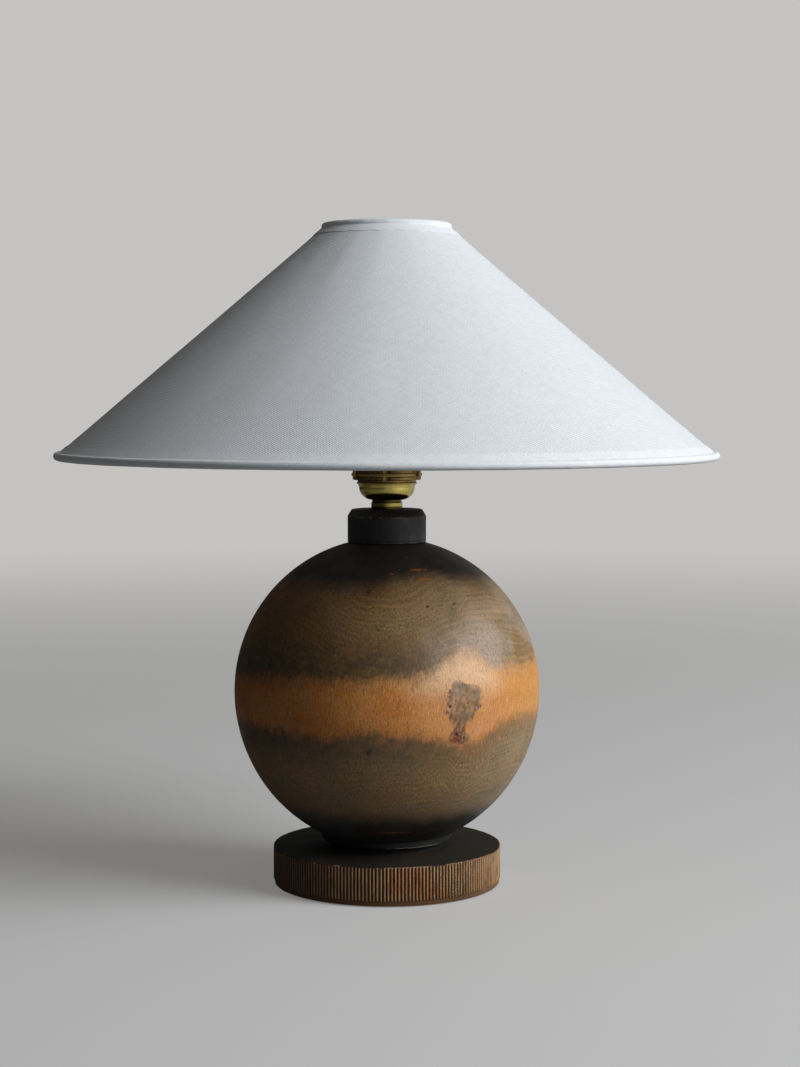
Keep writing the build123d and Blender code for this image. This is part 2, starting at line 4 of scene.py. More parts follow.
import bpy
import bmesh
import numpy as np
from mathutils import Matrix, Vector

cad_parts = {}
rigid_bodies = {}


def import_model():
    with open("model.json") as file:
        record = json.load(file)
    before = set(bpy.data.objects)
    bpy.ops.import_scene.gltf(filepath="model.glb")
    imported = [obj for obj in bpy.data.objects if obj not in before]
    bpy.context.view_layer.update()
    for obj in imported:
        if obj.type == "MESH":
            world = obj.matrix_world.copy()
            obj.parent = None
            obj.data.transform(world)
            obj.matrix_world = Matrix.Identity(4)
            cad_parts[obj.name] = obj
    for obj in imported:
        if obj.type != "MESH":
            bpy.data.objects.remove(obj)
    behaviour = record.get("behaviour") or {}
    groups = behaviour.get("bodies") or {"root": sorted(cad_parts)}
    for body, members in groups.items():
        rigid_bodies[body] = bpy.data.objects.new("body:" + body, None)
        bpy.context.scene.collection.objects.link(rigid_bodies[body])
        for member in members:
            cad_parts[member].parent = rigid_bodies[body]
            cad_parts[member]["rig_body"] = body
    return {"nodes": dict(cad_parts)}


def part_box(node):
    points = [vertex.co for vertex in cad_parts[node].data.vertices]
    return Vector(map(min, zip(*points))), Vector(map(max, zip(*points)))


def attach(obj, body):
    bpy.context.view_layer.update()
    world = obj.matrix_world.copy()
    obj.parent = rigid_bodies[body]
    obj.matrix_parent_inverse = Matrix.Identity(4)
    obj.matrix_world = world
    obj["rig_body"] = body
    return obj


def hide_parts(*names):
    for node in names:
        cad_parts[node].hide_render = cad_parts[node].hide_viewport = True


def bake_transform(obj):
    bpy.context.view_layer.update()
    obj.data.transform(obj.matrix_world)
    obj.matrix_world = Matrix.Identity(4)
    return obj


# The looks of a table lamp: a scorched wooden ball on a reeded disc, a black collar,
# a brass lampholder and a linen shade. Lengths are written in millimetres and
# become metres where a mesh is made. Angles round the lamp are measured from the
# front, -Y, towards the right, +X.

for start_object in list(bpy.data.objects):
    bpy.data.objects.remove(start_object)

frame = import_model()
bpy.context.view_layer.update()
MM = 0.001
SCENE = bpy.context.scene


def node_heights(node):
    """Lowest and highest height of a CAD node, in millimetres."""
    low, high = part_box(node)
    return low.z / MM, high.z / MM


DISC_BOTTOM, DISC_TOP = node_heights("base_disc")
DISC_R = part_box("base_disc")[1].x / MM
BALL_LOW, COLLAR_LOW = node_heights("ball_body")
HOLDER_LOW = node_heights("holder_cap")[0]
BALL_R, BALL_UNDER_R = 82.6, 85.5
FOOT_R, FOOT_COVE_R, FOOT_LIP_R, FOOT_H = 35.4, 3.7, 1, 7.3
FOOT_TOP = BALL_LOW + FOOT_H
BALL_Z = FOOT_TOP + BALL_UNDER_R * sqrt(1 - (FOOT_R / BALL_R) ** 2)
COLLAR_R, CHAMFER_H = 21.25, 3.5
STEM_HOLE_R = 5.3
WIRE_R = 1.25
SHADE_BOTTOM_R, SHADE_TOP_R = 175.7, 32.9
SHADE_BOTTOM = node_heights("shade_bottom_wire")[0] + WIRE_R
SHADE_TOP = node_heights("shade_top_wire")[1] - WIRE_R
SLOPE_L = hypot(SHADE_TOP - SHADE_BOTTOM, SHADE_BOTTOM_R - SHADE_TOP_R)
SLOPE_IN = (SHADE_BOTTOM_R - SHADE_TOP_R) / SLOPE_L
SLOPE_UP = (SHADE_TOP - SHADE_BOTTOM) / SLOPE_L
ROLL_R, ROLL_HOLE_R = 2.1, 1.3
LAP_L, LAP_T, LINEN_T, LINING_T = 7.5, 0.32, 0.5, 0.5
KNOT_ANGLE, KNOT_HEIGHT, KNOT_TILT = radians(28), 0.05, 0.065
KNOT_FROM, KNOT_TO = -0.3, 0.14


# Meshes
def rounded(points, radius, steps, step):
    """A closed outline of (r, z), with each corner rounded over radius, or over
    the point's own third number, and with points no further apart than step."""
    corners = [p if len(p) == 3 else (*p, radius) for p in points]
    out = []
    for i, (x, z, bend) in enumerate(corners):
        here = np.array((x, z))
        before = np.array(corners[i - 1][:2]) - here
        after = np.array(corners[(i + 1) % len(corners)][:2]) - here
        reach = min(bend, 0.45 * np.hypot(*before), 0.45 * np.hypot(*after))
        if reach < 0.01 or x < 0.01:
            out.append(here)
            continue
        a = here + before / np.hypot(*before) * reach
        b = here + after / np.hypot(*after) * reach
        for t in np.linspace(0, 1, steps + 1):
            out.append((1 - t) ** 2 * a + 2 * t * (1 - t) * here + t**2 * b)
    dense = []
    for i, here in enumerate(out):
        ahead = out[(i + 1) % len(out)]
        count = max(1, int(np.ceil(np.hypot(*(ahead - here)) / step)))
        dense += [here + (ahead - here) * k / count for k in range(count)]
    return np.array(dense)


def arc(centre, radius, start, end, count):
    """Points of (r, z) on an arc, angles in degrees from the outward direction."""
    angles = np.radians(np.linspace(start, end, count))
    return np.stack([centre[0] + radius * np.cos(angles), centre[1] + radius * np.sin(angles)], 1)


def evenly(count):
    return np.arange(count) * tau / count


def cells(rows, columns):
    """The four corners, as (row, column), of each cell of a grid."""
    i, j = np.meshgrid(np.arange(rows), np.arange(columns), indexing="ij")
    return (i, j), (i, j + 1), (i + 1, j + 1), (i + 1, j)


def cell_faces(rows, columns, row_count, column_count):
    """Faces on a grid of points, which close where there are as many cells as points."""
    corners = [a % row_count * column_count + b % column_count for a, b in cells(rows, columns)]
    return np.stack(corners, 2).reshape(-1, 4)


def in_scene(name, data):
    made = bpy.data.objects.new(name, data)
    SCENE.collection.objects.link(made)
    return made


def make_object(name, verts, faces, material, smooth_angle=35, merge=False):
    mesh = bpy.data.meshes.new(name)
    mesh.from_pydata((np.asarray(verts) * MM).tolist(), [], np.asarray(faces).tolist())
    if merge:
        work = bmesh.new()
        work.from_mesh(mesh)
        bmesh.ops.remove_doubles(work, verts=work.verts, dist=1e-7)
        work.to_mesh(mesh)
        work.free()
    mesh.polygons.foreach_set("use_smooth", [True] * len(mesh.polygons))
    mesh.set_sharp_from_angle(angle=radians(smooth_angle))
    mesh.materials.append(material)
    return in_scene(name, mesh)


def turned(name, outline, material, angles, relief):
    """A solid turned round the axis from an outline of (r, z) that runs
    anticlockwise. relief(r, z, angle) gives what is added to r and to z."""
    rows, count = len(outline), len(angles)
    r, z, turn = np.broadcast_arrays(outline[:, :1], outline[:, 1:], angles)
    out, up = relief(r, z, turn)
    r, z = r + out, z + up
    verts = np.stack([r * np.sin(turn), -r * np.cos(turn), z], 2).reshape(-1, 3)
    merge = bool((outline[:, 0] < 0.01).any())
    return make_object(name, verts, cell_faces(rows, count, rows, count), material, merge=merge)


def settle(piece, node):
    """piece stands for a CAD node: it rides on the node's body, and the node is hidden."""
    body = frame["nodes"][node]["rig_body"]
    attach(piece, body)
    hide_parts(node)


def waves(seed, count, low, high):
    """A smooth random curve round the lamp: a sum of whole waves of size about 1."""
    draw = np.random.default_rng(seed)
    turns = draw.integers(low, high, count)
    phases = draw.uniform(0, tau, count)
    sizes = draw.uniform(0.4, 1, count) / sqrt(count)

    def value(angle):
        return sum(s * np.sin(k * angle + p) for s, k, p in zip(sizes, turns, phases))

    return value


# Shaders
def srgb(red, green, blue):
    """A colour written as 0 to 255, as the shader takes it."""
    parts = [c / 255 for c in (red, green, blue)]
    return (*[c / 12.92 if c < 0.04045 else ((c + 0.055) / 1.055) ** 2.4 for c in parts], 1)


class Value:
    """What a node gives. Its sums, differences and products are nodes as well."""

    def __init__(self, nodes, socket):
        self.nodes = nodes
        self.socket = socket

    def __add__(self, other):
        return self.nodes.math("ADD", self, other)

    def __sub__(self, other):
        return self.nodes.math("SUBTRACT", self, other)

    def __rsub__(self, other):
        return self.nodes.math("SUBTRACT", other, self)

    def __mul__(self, other):
        return self.nodes.math("MULTIPLY", self, other)


class Nodes:
    """A node tree, with short ways to add nodes to it."""

    def __init__(self, tree):
        self.tree = tree

    def new(self, kind, **settings):
        made = self.tree.nodes.new("ShaderNode" + kind)
        for key, value in settings.items():
            setattr(made, key, value)
        return made

    def put(self, value, socket):
        if isinstance(value, Value):
            self.tree.links.new(value.socket, socket)
        elif value is not None:
            socket.default_value = value

    def fed(self, made, inputs, output=0):
        """What a node gives once its sockets have these inputs."""
        for socket, value in inputs.items():
            self.put(value, made.inputs[socket])
        return Value(self, made.outputs[output])

    def node(self, kind, *values, output=0, **settings):
        return self.fed(self.new(kind, **settings), dict(enumerate(values)), output)

    def math(self, operation, *values):
        return self.node("Math", *values, operation=operation)

    def most(self, first, *others):
        for other in others:
            first = self.math("MAXIMUM", first, other)
        return first

    def size(self, value):
        return self.math("ABSOLUTE", value)

    def length(self, x, y):
        return self.math("SQRT", x * x + y * y)

    def stretch(self, vector, *by):
        return self.node("VectorMath", vector, by, operation="MULTIPLY")

    def shift(self, vector, *by):
        return self.node("VectorMath", vector, by, operation="ADD")

    def along(self, vector, direction):
        """The part of vector that lies along direction."""
        return self.node("VectorMath", vector, direction, output="Value", operation="DOT_PRODUCT")

    def parts(self, vector):
        made = self.new("SeparateXYZ")
        self.put(vector, made.inputs[0])
        return [Value(self, socket) for socket in made.outputs]

    def noise(self, vector, scale, detail=2, roughness=0.5, move=None):
        """Noise from 0 to 1, with one scale, or one for each direction."""
        if move:
            vector = self.shift(vector, *move)
        if isinstance(scale, tuple):
            vector, scale = self.stretch(vector, *scale), 1
        inputs = {"Vector": vector, "Scale": scale, "Detail": detail, "Roughness": roughness}
        return self.fed(self.new("TexNoise"), inputs)

    def uneven(self, *settings):
        """The same noise, from -0.5 to 0.5."""
        return self.noise(*settings) - 0.5

    def step(self, value, low, high, start=0, end=1):
        """start below low, end above high, and a smooth step between them."""
        return self.node("MapRange", value, low, high, start, end, interpolation_type="SMOOTHSTEP")

    def fade(self, value, low, high):
        return self.step(value, low, high, 1, 0)

    def peak(self, value, rise, top, fall, end):
        """0, then 1 between top and fall, then 0 again."""
        return self.step(value, rise, top) * self.fade(value, fall, end)

    def sweep(self, turn, low, high, start=0, end=1):
        """From start to end between two angles in degrees, and back again at the rear."""
        there = self.step(turn, 0.5 + low / 360, 0.5 + high / 360)
        back = self.fade(turn, 0.8, 0.98)
        return self.math("MULTIPLY_ADD", there * back, end - start, start)

    def curve(self, value, points, low, high):
        """A smooth curve through points of (value from 0 to 1, result from low to high)."""
        made = self.new("FloatCurve")
        line = made.mapping.curves[0]
        for _ in range(len(points) - 2):
            line.points.new(0.5, 0.5)
        for dot, (x, y) in zip(line.points, sorted(points)):
            dot.location = (x, (y - low) / (high - low))
        made.mapping.update()
        return self.math("MULTIPLY_ADD", self.fed(made, {"Value": value}), high - low, low)

    def ramp(self, value, *stops):
        """Greys at places from 0 to 1."""
        made = self.new("ValToRGB")
        elements = made.color_ramp.elements
        while len(elements) < len(stops):
            elements.new(0.5)
        for element, (position, grey) in zip(elements, stops):
            element.position = position
            element.color = (grey, grey, grey, 1)
        return self.fed(made, {0: value})

    def mix(self, factor, a, b, blend="MIX"):
        """a where factor is 0 and b where it is 1. A colour of three is written as 0 to 255."""
        a, b = [srgb(*side) if isinstance(side, tuple) and len(side) == 3 else side for side in (a, b)]
        return self.fed(self.new("Mix", data_type="RGBA", blend_type=blend), {0: factor, 6: a, 7: b}, 2)

    def paint(self, colour, *layers):
        """A colour with layers of (strength, colour) mixed over it in turn."""
        for strength, tint in layers:
            colour = self.mix(strength, colour, tint)
        return colour

    def bump(self, height, distance_mm, strength):
        inputs = {"Strength": strength, "Distance": distance_mm * MM, "Height": height}
        return self.fed(self.new("Bump"), inputs)

    def angle(self, x, y):
        """The angle round the lamp as a share of a turn, 0.5 at the front."""
        return self.math("MULTIPLY_ADD", self.math("ARCTAN2", x, y * -1), 1 / tau, 0.5)


class Shader(Nodes):
    """A principled material."""

    def __init__(self, name, **sockets):
        self.material = bpy.data.materials.new(name)
        self.material.use_nodes = True
        super().__init__(self.material.node_tree)
        self.surface = self.tree.nodes["Principled BSDF"]
        for socket, value in sockets.items():
            self.surface.inputs[socket.replace("_", " ")].default_value = value
        coordinates = self.new("TexCoord")
        self.place = Value(self, coordinates.outputs["Object"])
        self.flat = Value(self, coordinates.outputs["UV"])

    def finish(self, colour, roughness, normal=None):
        self.fed(self.surface, {"Base Color": colour, "Roughness": roughness, "Normal": normal})
        return self.material


def by_degrees(*pairs):
    """Points of (degrees, thousandths) as (share of a turn, value)."""
    return [((degrees + 180) / 360, value / 1000) for degrees, value in pairs]


# Tables in thousandths, of the ball's radius where they are lengths. First the raw
# band's two edges, the dips in the scorched caps and the sag of the grain, by angle,
# then how strong the painted shade on the ball's left side and the disc's rub are.
BAND_LOW = by_degrees(
    (-180, -200), (-140, -250), (-100, -180), (-79, -156), (-39, -158), (-29, -165), (-24, -188),
    (-16, -161), (-6, -139), (5, -162), (17, -179), (23, -201), (28, -227), (33, -221), (38, -197),
    (42, -151), (46, -116), (57, -99), (73, -115), (115, -170), (150, -230), (180, -200))
BAND_HIGH = by_degrees(
    (-180, 200), (-140, 150), (-100, 100), (-76, 106), (-50, 152), (-34, 171), (-13, 170), (2, 185),
    (14, 205), (17, 228), (21, 279), (26, 312), (31, 335), (35, 328), (39, 275), (44, 230), (50, 219),
    (65, 212), (78, 226), (120, 160), (150, 180), (180, 200))
CAP_DIP = by_degrees(
    (-180, 20), (-120, 60), (-65, 55), (-40, 60), (-20, 75), (-2, 50), (10, 20), (28, 7), (42, 26),
    (57, 50), (80, 57), (115, 90), (150, 30), (180, 20))
GRAIN_BOWL = by_degrees(
    (-180, 100), (-150, 260), (-122, 60), (-92, 280), (-62, 300), (-40, 190), (-25, 95), (-18, 50), (-6, 0),
    (6, 20), (19, 70), (28, 105), (40, 130), (55, 120), (75, 90), (100, 220), (140, 0), (180, 100))
GRAIN_DIP = by_degrees(
    (-180, 0), (-140, 40), (-95, -40), (-50, 20), (-18, -8), (-6, 0), (6, -6), (14, 4), (22, 22), (28, -50),
    (34, -55), (40, 0), (47, 55), (58, 62), (75, 30), (110, -40), (150, 40), (180, 0))
PAINTED_LEFT_SHADE = by_degrees(
    (-180, 0), (-150, 300), (-110, 850), (-75, 1000), (-50, 850), (-30, 500), (-12, 160), (5, 0), (180, 0))
ARRIS_RUB = by_degrees((-180, 0), (-25, 0), (10, 50), (60, 70), (180, 0))
# The knot's outline, as (share of its height, its left and its right from the middle)
KNOT_OUTLINE = np.array((
    (0, 0, 0), (34, 0, 0), (82, -31, 23), (127, -63, 44), (189, -70, 40), (250, -52, 14), (309, -44, 12),
    (368, -54, 33), (425, -75, 70), (484, -85, 77), (541, -103, 99), (600, -108, 132), (655, -105, 139),
    (714, -101, 146), (770, -98, 143), (830, -89, 132), (886, -66, 105), (945, -42, 0),
    (1000, 0, 0))) / 1000
# Small marks: angle, height, half width and half height, then the strength from 0 to 1
# and the colour. First the knot's grey blocks, brown heart, tail, foot and pits, then
# what lies elsewhere.
SPOTS = (
    (25.6, 70, 22, 18, 0.5, (186, 136, 110)), (26.6, 121, 36, 42, 0.85, (150, 130, 112)),
    (32.9, 84, 42, 30, 0.85, (136, 118, 94)), (34.2, 9, 18, 22, 0.7, (136, 106, 96)),
    (27.7, -40, 48, 34, 0.8, (118, 94, 70)), (31.3, -34, 22, 18, 0.6, (134, 108, 86)),
    (27.2, -96, 22, 36, 0.8, (112, 82, 66)), (26.2, -203, 30, 12, 0.6, (170, 92, 60)),
    (26.4, -172, 34, 36, 0.9, (112, 56, 36)), (28.7, -135, 12, 18, 0.65, (138, 66, 42)),
    (30.9, -175, 10, 18, 0.5, (160, 80, 48)), (32.7, 51, 10, 8, 0.5, (190, 160, 86)),
    # The second mark on the next line, pale pink at the edge of the pit before it, is a painted highlight
    (23, 18, 11, 9, 0.9, (70, 30, 26)), (22.7, 6, 7, 6, 0.7, (190, 140, 124)),
    (25.3, 52, 6, 6, 0.85, (80, 48, 34)), (30.3, 28, 6, 14, 0.8, (84, 58, 40)),
    (28.6, 0, 10, 14, 0.6, (104, 78, 56)), (26, -160, 10, 10, 0.8, (82, 36, 24)),
    (27.4, -150, 6, 12, 0.8, (78, 40, 26)), (-6, -255, 15, 26, 0.8, (44, 40, 32)),
    (-9, 710, 12, 18, 0.7, (40, 32, 24)), (19, 621, 16, 6, 0.8, (112, 44, 24)),
    (26, 622, 14, 6, 0.85, (112, 44, 24)), (33, 628, 10, 6, 0.85, (118, 48, 26)),
    (27, 411, 35, 20, 0.4, (96, 82, 66)), (21, 831, 48, 5, 0.75, (190, 104, 48)),
    (22, 778, 45, 7, 0.8, (186, 110, 56)), (3, 810, 14, 6, 0.7, (170, 92, 46)),
    (-30, 735, 40, 6, 0.6, (150, 80, 40)), (4, -834, 100, 6, 0.7, (160, 86, 42)),
    (46, -219, 22, 10, 0.45, (200, 126, 86)), (35, -507, 24, 8, 0.7, (206, 122, 62)),
    (8, 445, 9, 11, 0.7, (190, 110, 56)), (58, 565, 45, 20, 0.5, (206, 160, 120)),
    (61, -395, 40, 7, 0.7, (214, 132, 84)))


def ball_wood():
    s = Shader("scorched_wood_look", Specular_IOR_Level=0.35)
    q = s.stretch(s.shift(s.place, 0, 0, -BALL_Z * MM), *[1 / (BALL_R * MM)] * 3)
    x, y, z = s.parts(q)
    turn = s.angle(x, y)
    blotch = s.uneven(q, 5.5, 3, 0.55)
    patches = s.noise(q, 2.6, move=(4.1, 2.2, 7.3))
    ragged = s.uneven(q, (12, 12, 16), 4, 0.65, (7, 2, 4))
    streaks = s.noise(q, (85, 85, 9), 3, 0.65)
    streak = streaks - 0.5
    strokes = s.noise(q, (105, 105, 19), 2, 0.55)
    fibre = s.noise(q, (190, 190, 24))
    speckle = s.uneven(q, (34, 34, 17), 3, 0.6, (5, 1, 9))
    edge = z + blotch * 0.05 + ragged * 0.12 + streak * 0.06 + speckle * 0.1

    # Grain: growth lines that sag into a bowl at the front and dip under the knot
    upper = s.step(z, -0.25, 0.5)
    lower = s.fade(z, -0.2, -0.1) * s.step(z, -0.75, -0.5, 0.35, 1)
    knot_out = cos(KNOT_TILT)
    knot = (sin(KNOT_ANGLE) * knot_out, -cos(KNOT_ANGLE) * knot_out, KNOT_HEIGHT)
    across = s.along(q, (cos(KNOT_ANGLE), sin(KNOT_ANGLE), 0))
    above = z - KNOT_HEIGHT
    facing = s.step(s.along(q, knot), 0.5, 0.8)
    far = s.length(across, above)
    swell = s.fade(far, 0.05, 0.42) * above * 0.4 * facing
    ripple = s.uneven(q, (3.4, 3.4, 1.3), 3) * 0.1
    bowl = s.curve(turn, GRAIN_BOWL, 0, 0.5) * upper
    dip = s.curve(turn, GRAIN_DIP, -0.1, 0.1) * lower
    growth = z + ripple - (bowl + dip + swell)
    level = s.node("CombineXYZ", growth, 0.37, 0.11)
    widths = s.uneven(level, 6.5, 3) * 3.2 + s.uneven(q, 3, 1) * 0.5
    strength = s.step(s.noise(level, 26, 1, move=(5, 5, 5)), 0.35, 0.62, 0.2, 1)
    ring = s.math("FRACT", growth * 30 + widths)
    late = s.ramp(ring, (0, 1), (0.11, 0.65), (0.24, 0.1), (0.5, 0), (0.85, 0.08), (0.96, 0.75), (1, 1))
    early = s.ramp(ring, (0, 0), (0.25, 0), (0.45, 1), (0.7, 0.6), (0.86, 0), (1, 0))
    shown = s.step(s.noise(q, 4.6, 3, move=(1.7, 5.1, 0.4)), 0.34, 0.6, 0.25, 1)
    shown = shown * s.sweep(turn, -55, -8, 0.35, 1) * strength
    shown = shown * s.most(s.step(z, -0.3, 0), s.sweep(turn, -15, 30, 0.3, 1))
    lines = late * shown * s.step(fibre, 0.25, 0.55, 0.55, 1)

    # Stained wood between the band and the caps. Towards the right, where the key light
    # falls, it is painted paler: a grey patch, partly greyer wood and partly painted sheen,
    # and paler wood below the band, painted light.
    below = s.step(z, -0.25, 0, 0.75, 0)
    right = s.sweep(turn, 20, 62)
    sheen_right = s.sweep(turn, 2, 44, 0, 0.9)
    grey = s.step(patches + (z - 0.3) * 0.25, 0.38, 0.58) * s.step(z, 0.02, 0.22) * sheen_right
    grey = grey * s.step(z, 0.42, 0.7, 1, 0.35)
    brown = s.step(s.noise(q, 4.2, 3, move=(9, 1, 3)), 0.5, 0.72, 0, 0.5)
    green = s.step(s.noise(q, 5, move=(2, 6, 5)), 0.5, 0.66, 0, 0.4)
    olive = s.paint(
        s.mix(s.step(patches, 0.36, 0.64), (146, 113, 70), (168, 134, 90)),
        (below, (136, 107, 69)), (grey, (182, 161, 142)), (right * below, (166, 143, 110)),
        (brown, (146, 102, 62)), (green, (112, 108, 76)), (early * shown * 0.34, (88, 80, 56)),
        (lines * (0.62 - grey * 0.25), (198, 158, 106)),
        (s.step(strokes, 0.3, 0.45, 0.55, 0), (66, 50, 32)),
        (s.step(strokes, 0.55, 0.72, 0, 0.45), (202, 172, 128)))

    # Raw band, paler in a tongue over the knot; beyond it, towards the right, a painted sheen makes it golden
    tone = s.noise(q, (2.4, 2.4, 5), 3, 0.6, (3, 3, 3))
    pink = s.step(s.noise(q, 3.4, move=(6, 8, 2)), 0.52, 0.74, 0, 0.4)
    tongue = s.fade(far, 0.2, 0.46) * s.step(above, -0.04, 0.16, 0.2, 1) * facing
    raw = s.paint(
        s.mix(s.step(tone, 0.36, 0.66), (206, 129, 58), (218, 149, 78)),
        (pink, (210, 136, 96)), (s.sweep(turn, 38, 62, 0, 0.7), (214, 153, 78)),
        (tongue * 0.92, (234, 190, 146)), (lines * 0.14, (170, 104, 56)),
        (s.step(strokes, 0.3, 0.46, 0.36, 0), (138, 84, 42)),
        (s.step(strokes, 0.56, 0.74, 0, 0.4), (242, 196, 140)))
    low = edge - s.curve(turn, BAND_LOW, -0.5, 0.5)
    high = edge - s.curve(turn, BAND_HIGH, -0.5, 0.5)
    band = s.step(low, -0.06, 0.06) * s.fade(high, -0.075, 0.07)

    # Rust and dusk along the band's edges, then fine dark pores all the way round
    rust = s.peak(low, -0.15, 0, 0, 0.06) * s.step(streaks + ragged * 0.5, 0.42, 0.6) * (1 - tongue)
    dusk = s.peak(low, -0.3, -0.05, -0.04, 0.03) + s.peak(high, -0.01, 0.05, 0.08, 0.38)
    dusk = dusk * s.sweep(turn, 5, 40, 0.62, 0.12) * s.step(ragged, -0.15, 0.15, 1.3, 0.7)
    pores = s.step(s.noise(q, (150, 150, 36), move=(2, 7, 1)), 0.55, 0.7)
    grit = s.step(s.noise(q, (150, 150, 70), 3, 0.6, (3, 1, 6)), 0.5, 0.66)
    calm = s.sweep(turn, -5, 35, 1, 0.55)
    colour = s.paint(
        s.mix(band, olive, raw),
        (rust * 0.6, (166, 98, 56)), (dusk, (74, 66, 48)),
        (pores * (0.55 - band * 0.2) * calm, (78, 48, 26)), (grit * calm * 0.5, (84, 54, 30)))

    # Knot: a soft stain and its rim. Its marks come later, with the others
    along = s.math("DIVIDE", above - KNOT_FROM, KNOT_TO - KNOT_FROM)
    left_side = [(share, left) for share, left, _ in KNOT_OUTLINE]
    right_side = [(share, right) for share, _, right in KNOT_OUTLINE]
    from_left = across - s.curve(along, left_side, -0.2, 0.2)
    from_right = s.curve(along, right_side, -0.2, 0.2) - across
    inside = s.math("MINIMUM", from_left, from_right) + s.uneven(q, 30, 4, 0.7) * 0.12
    ends = s.peak(along, 0.02, 0.09, 0.92, 0.99)
    mark = s.step(inside, -0.02, 0.02) * facing * ends
    mottle = s.noise(q, (40, 40, 26), 3, 0.6, (1, 1, 8))
    heart = s.mix(s.step(mottle, 0.42, 0.58), (102, 86, 64), (164, 128, 96))
    rim = s.peak(inside, -0.02, 0.004, 0.004, 0.036) * facing * ends
    rim = rim * s.step(mottle, 0.36, 0.56, 0.75, 0.15)
    colour = s.paint(colour, (mark * 0.8, heart), (rim, (92, 72, 54)))

    # Scorched caps and foot, with worn orange flecks along the caps' edges
    char = z + blotch * 0.07 + streak * 0.05 + speckle * 0.05
    top = s.step(char + s.curve(turn, CAP_DIP, 0, 0.2), 0.725, 0.865)
    burnt = s.most(top, s.fade(char, -0.785, -0.64))
    # Painted shade: the ball's left side, away from the key light, is darkened by the multiplied colour two
    # lines down
    painted_left_shade = s.curve(turn, PAINTED_LEFT_SHADE, 0, 1) * s.step(patches + z * 0.3, 0.2, 0.7, 0.75, 1)
    # Painted shade: the lower half of the ball is darkened towards the scorched bottom
    colour = s.mix(s.step(char, -0.68, -0.4, 0.3, 0), colour, (70, 54, 34))
    colour = s.mix(painted_left_shade * 0.95, colour, (196, 180, 166), "MULTIPLY")
    colour = s.mix(burnt * 0.97, colour, s.mix(s.step(patches, 0.4, 0.6), (31, 30, 30), (50, 49, 50)))
    for degrees, *lengths, strong, shade in SPOTS:
        height, wide, tall = [length / 1000 for length in lengths]
        round_r = sqrt(1 - height**2)
        centre = (-sin(radians(degrees)) * round_r, cos(radians(degrees)) * round_r, -height)
        apart = s.stretch(s.shift(q, *centre), 1 / wide, 1 / wide, 1 / tall)
        away = s.node("VectorMath", apart, output="Value", operation="LENGTH")
        away = away + speckle * 3 + (mottle - 0.5) * 1.2
        colour = s.mix(s.step(away, 0.5, 1.35, strong, 0), colour, shade)
    flecks = s.noise(q, (22, 22, 75), 2, 0.6, (8, 3, 5))
    worn = s.step(flecks, 0.69, 0.75) * s.peak(s.size(z), 0.5, 0.8, 0.86, 0.98)
    # A thin pale line on the foot's lip, only towards the right: a painted highlight
    lip_height = (BALL_LOW + FOOT_COVE_R + FOOT_LIP_R * 0.6 - BALL_Z) / BALL_R
    lip = s.fade(s.size(z - lip_height), 0.001, 0.006)
    lip = lip * s.sweep(turn, -4, 8) * s.sweep(turn, 42, 60, 1, 0) * s.step(ragged, -0.12, 0.05)
    # The foot is painted near black: partly scorch, partly painted shade under the ball
    colour = s.paint(
        colour,
        (worn * 0.85, (190, 106, 50)), (s.step(z, -0.935, -0.915, 0.9, 0), (12, 11, 11)),
        (lip * 0.6, (136, 128, 122)))

    shine = s.step(s.noise(q, 7, 3), 0.3, 0.7, 0.4, 0.52)
    rough = shine + band * 0.06 + mark * 0.1 + pores * 0.08
    rough = rough + s.step(z, -0.92, -0.86, 0.3, 0) + painted_left_shade * 0.15
    height = pores * -0.5 + strokes * 0.5 + late * 0.25
    return s.finish(colour, rough, s.bump(height, 0.09, 0.55))


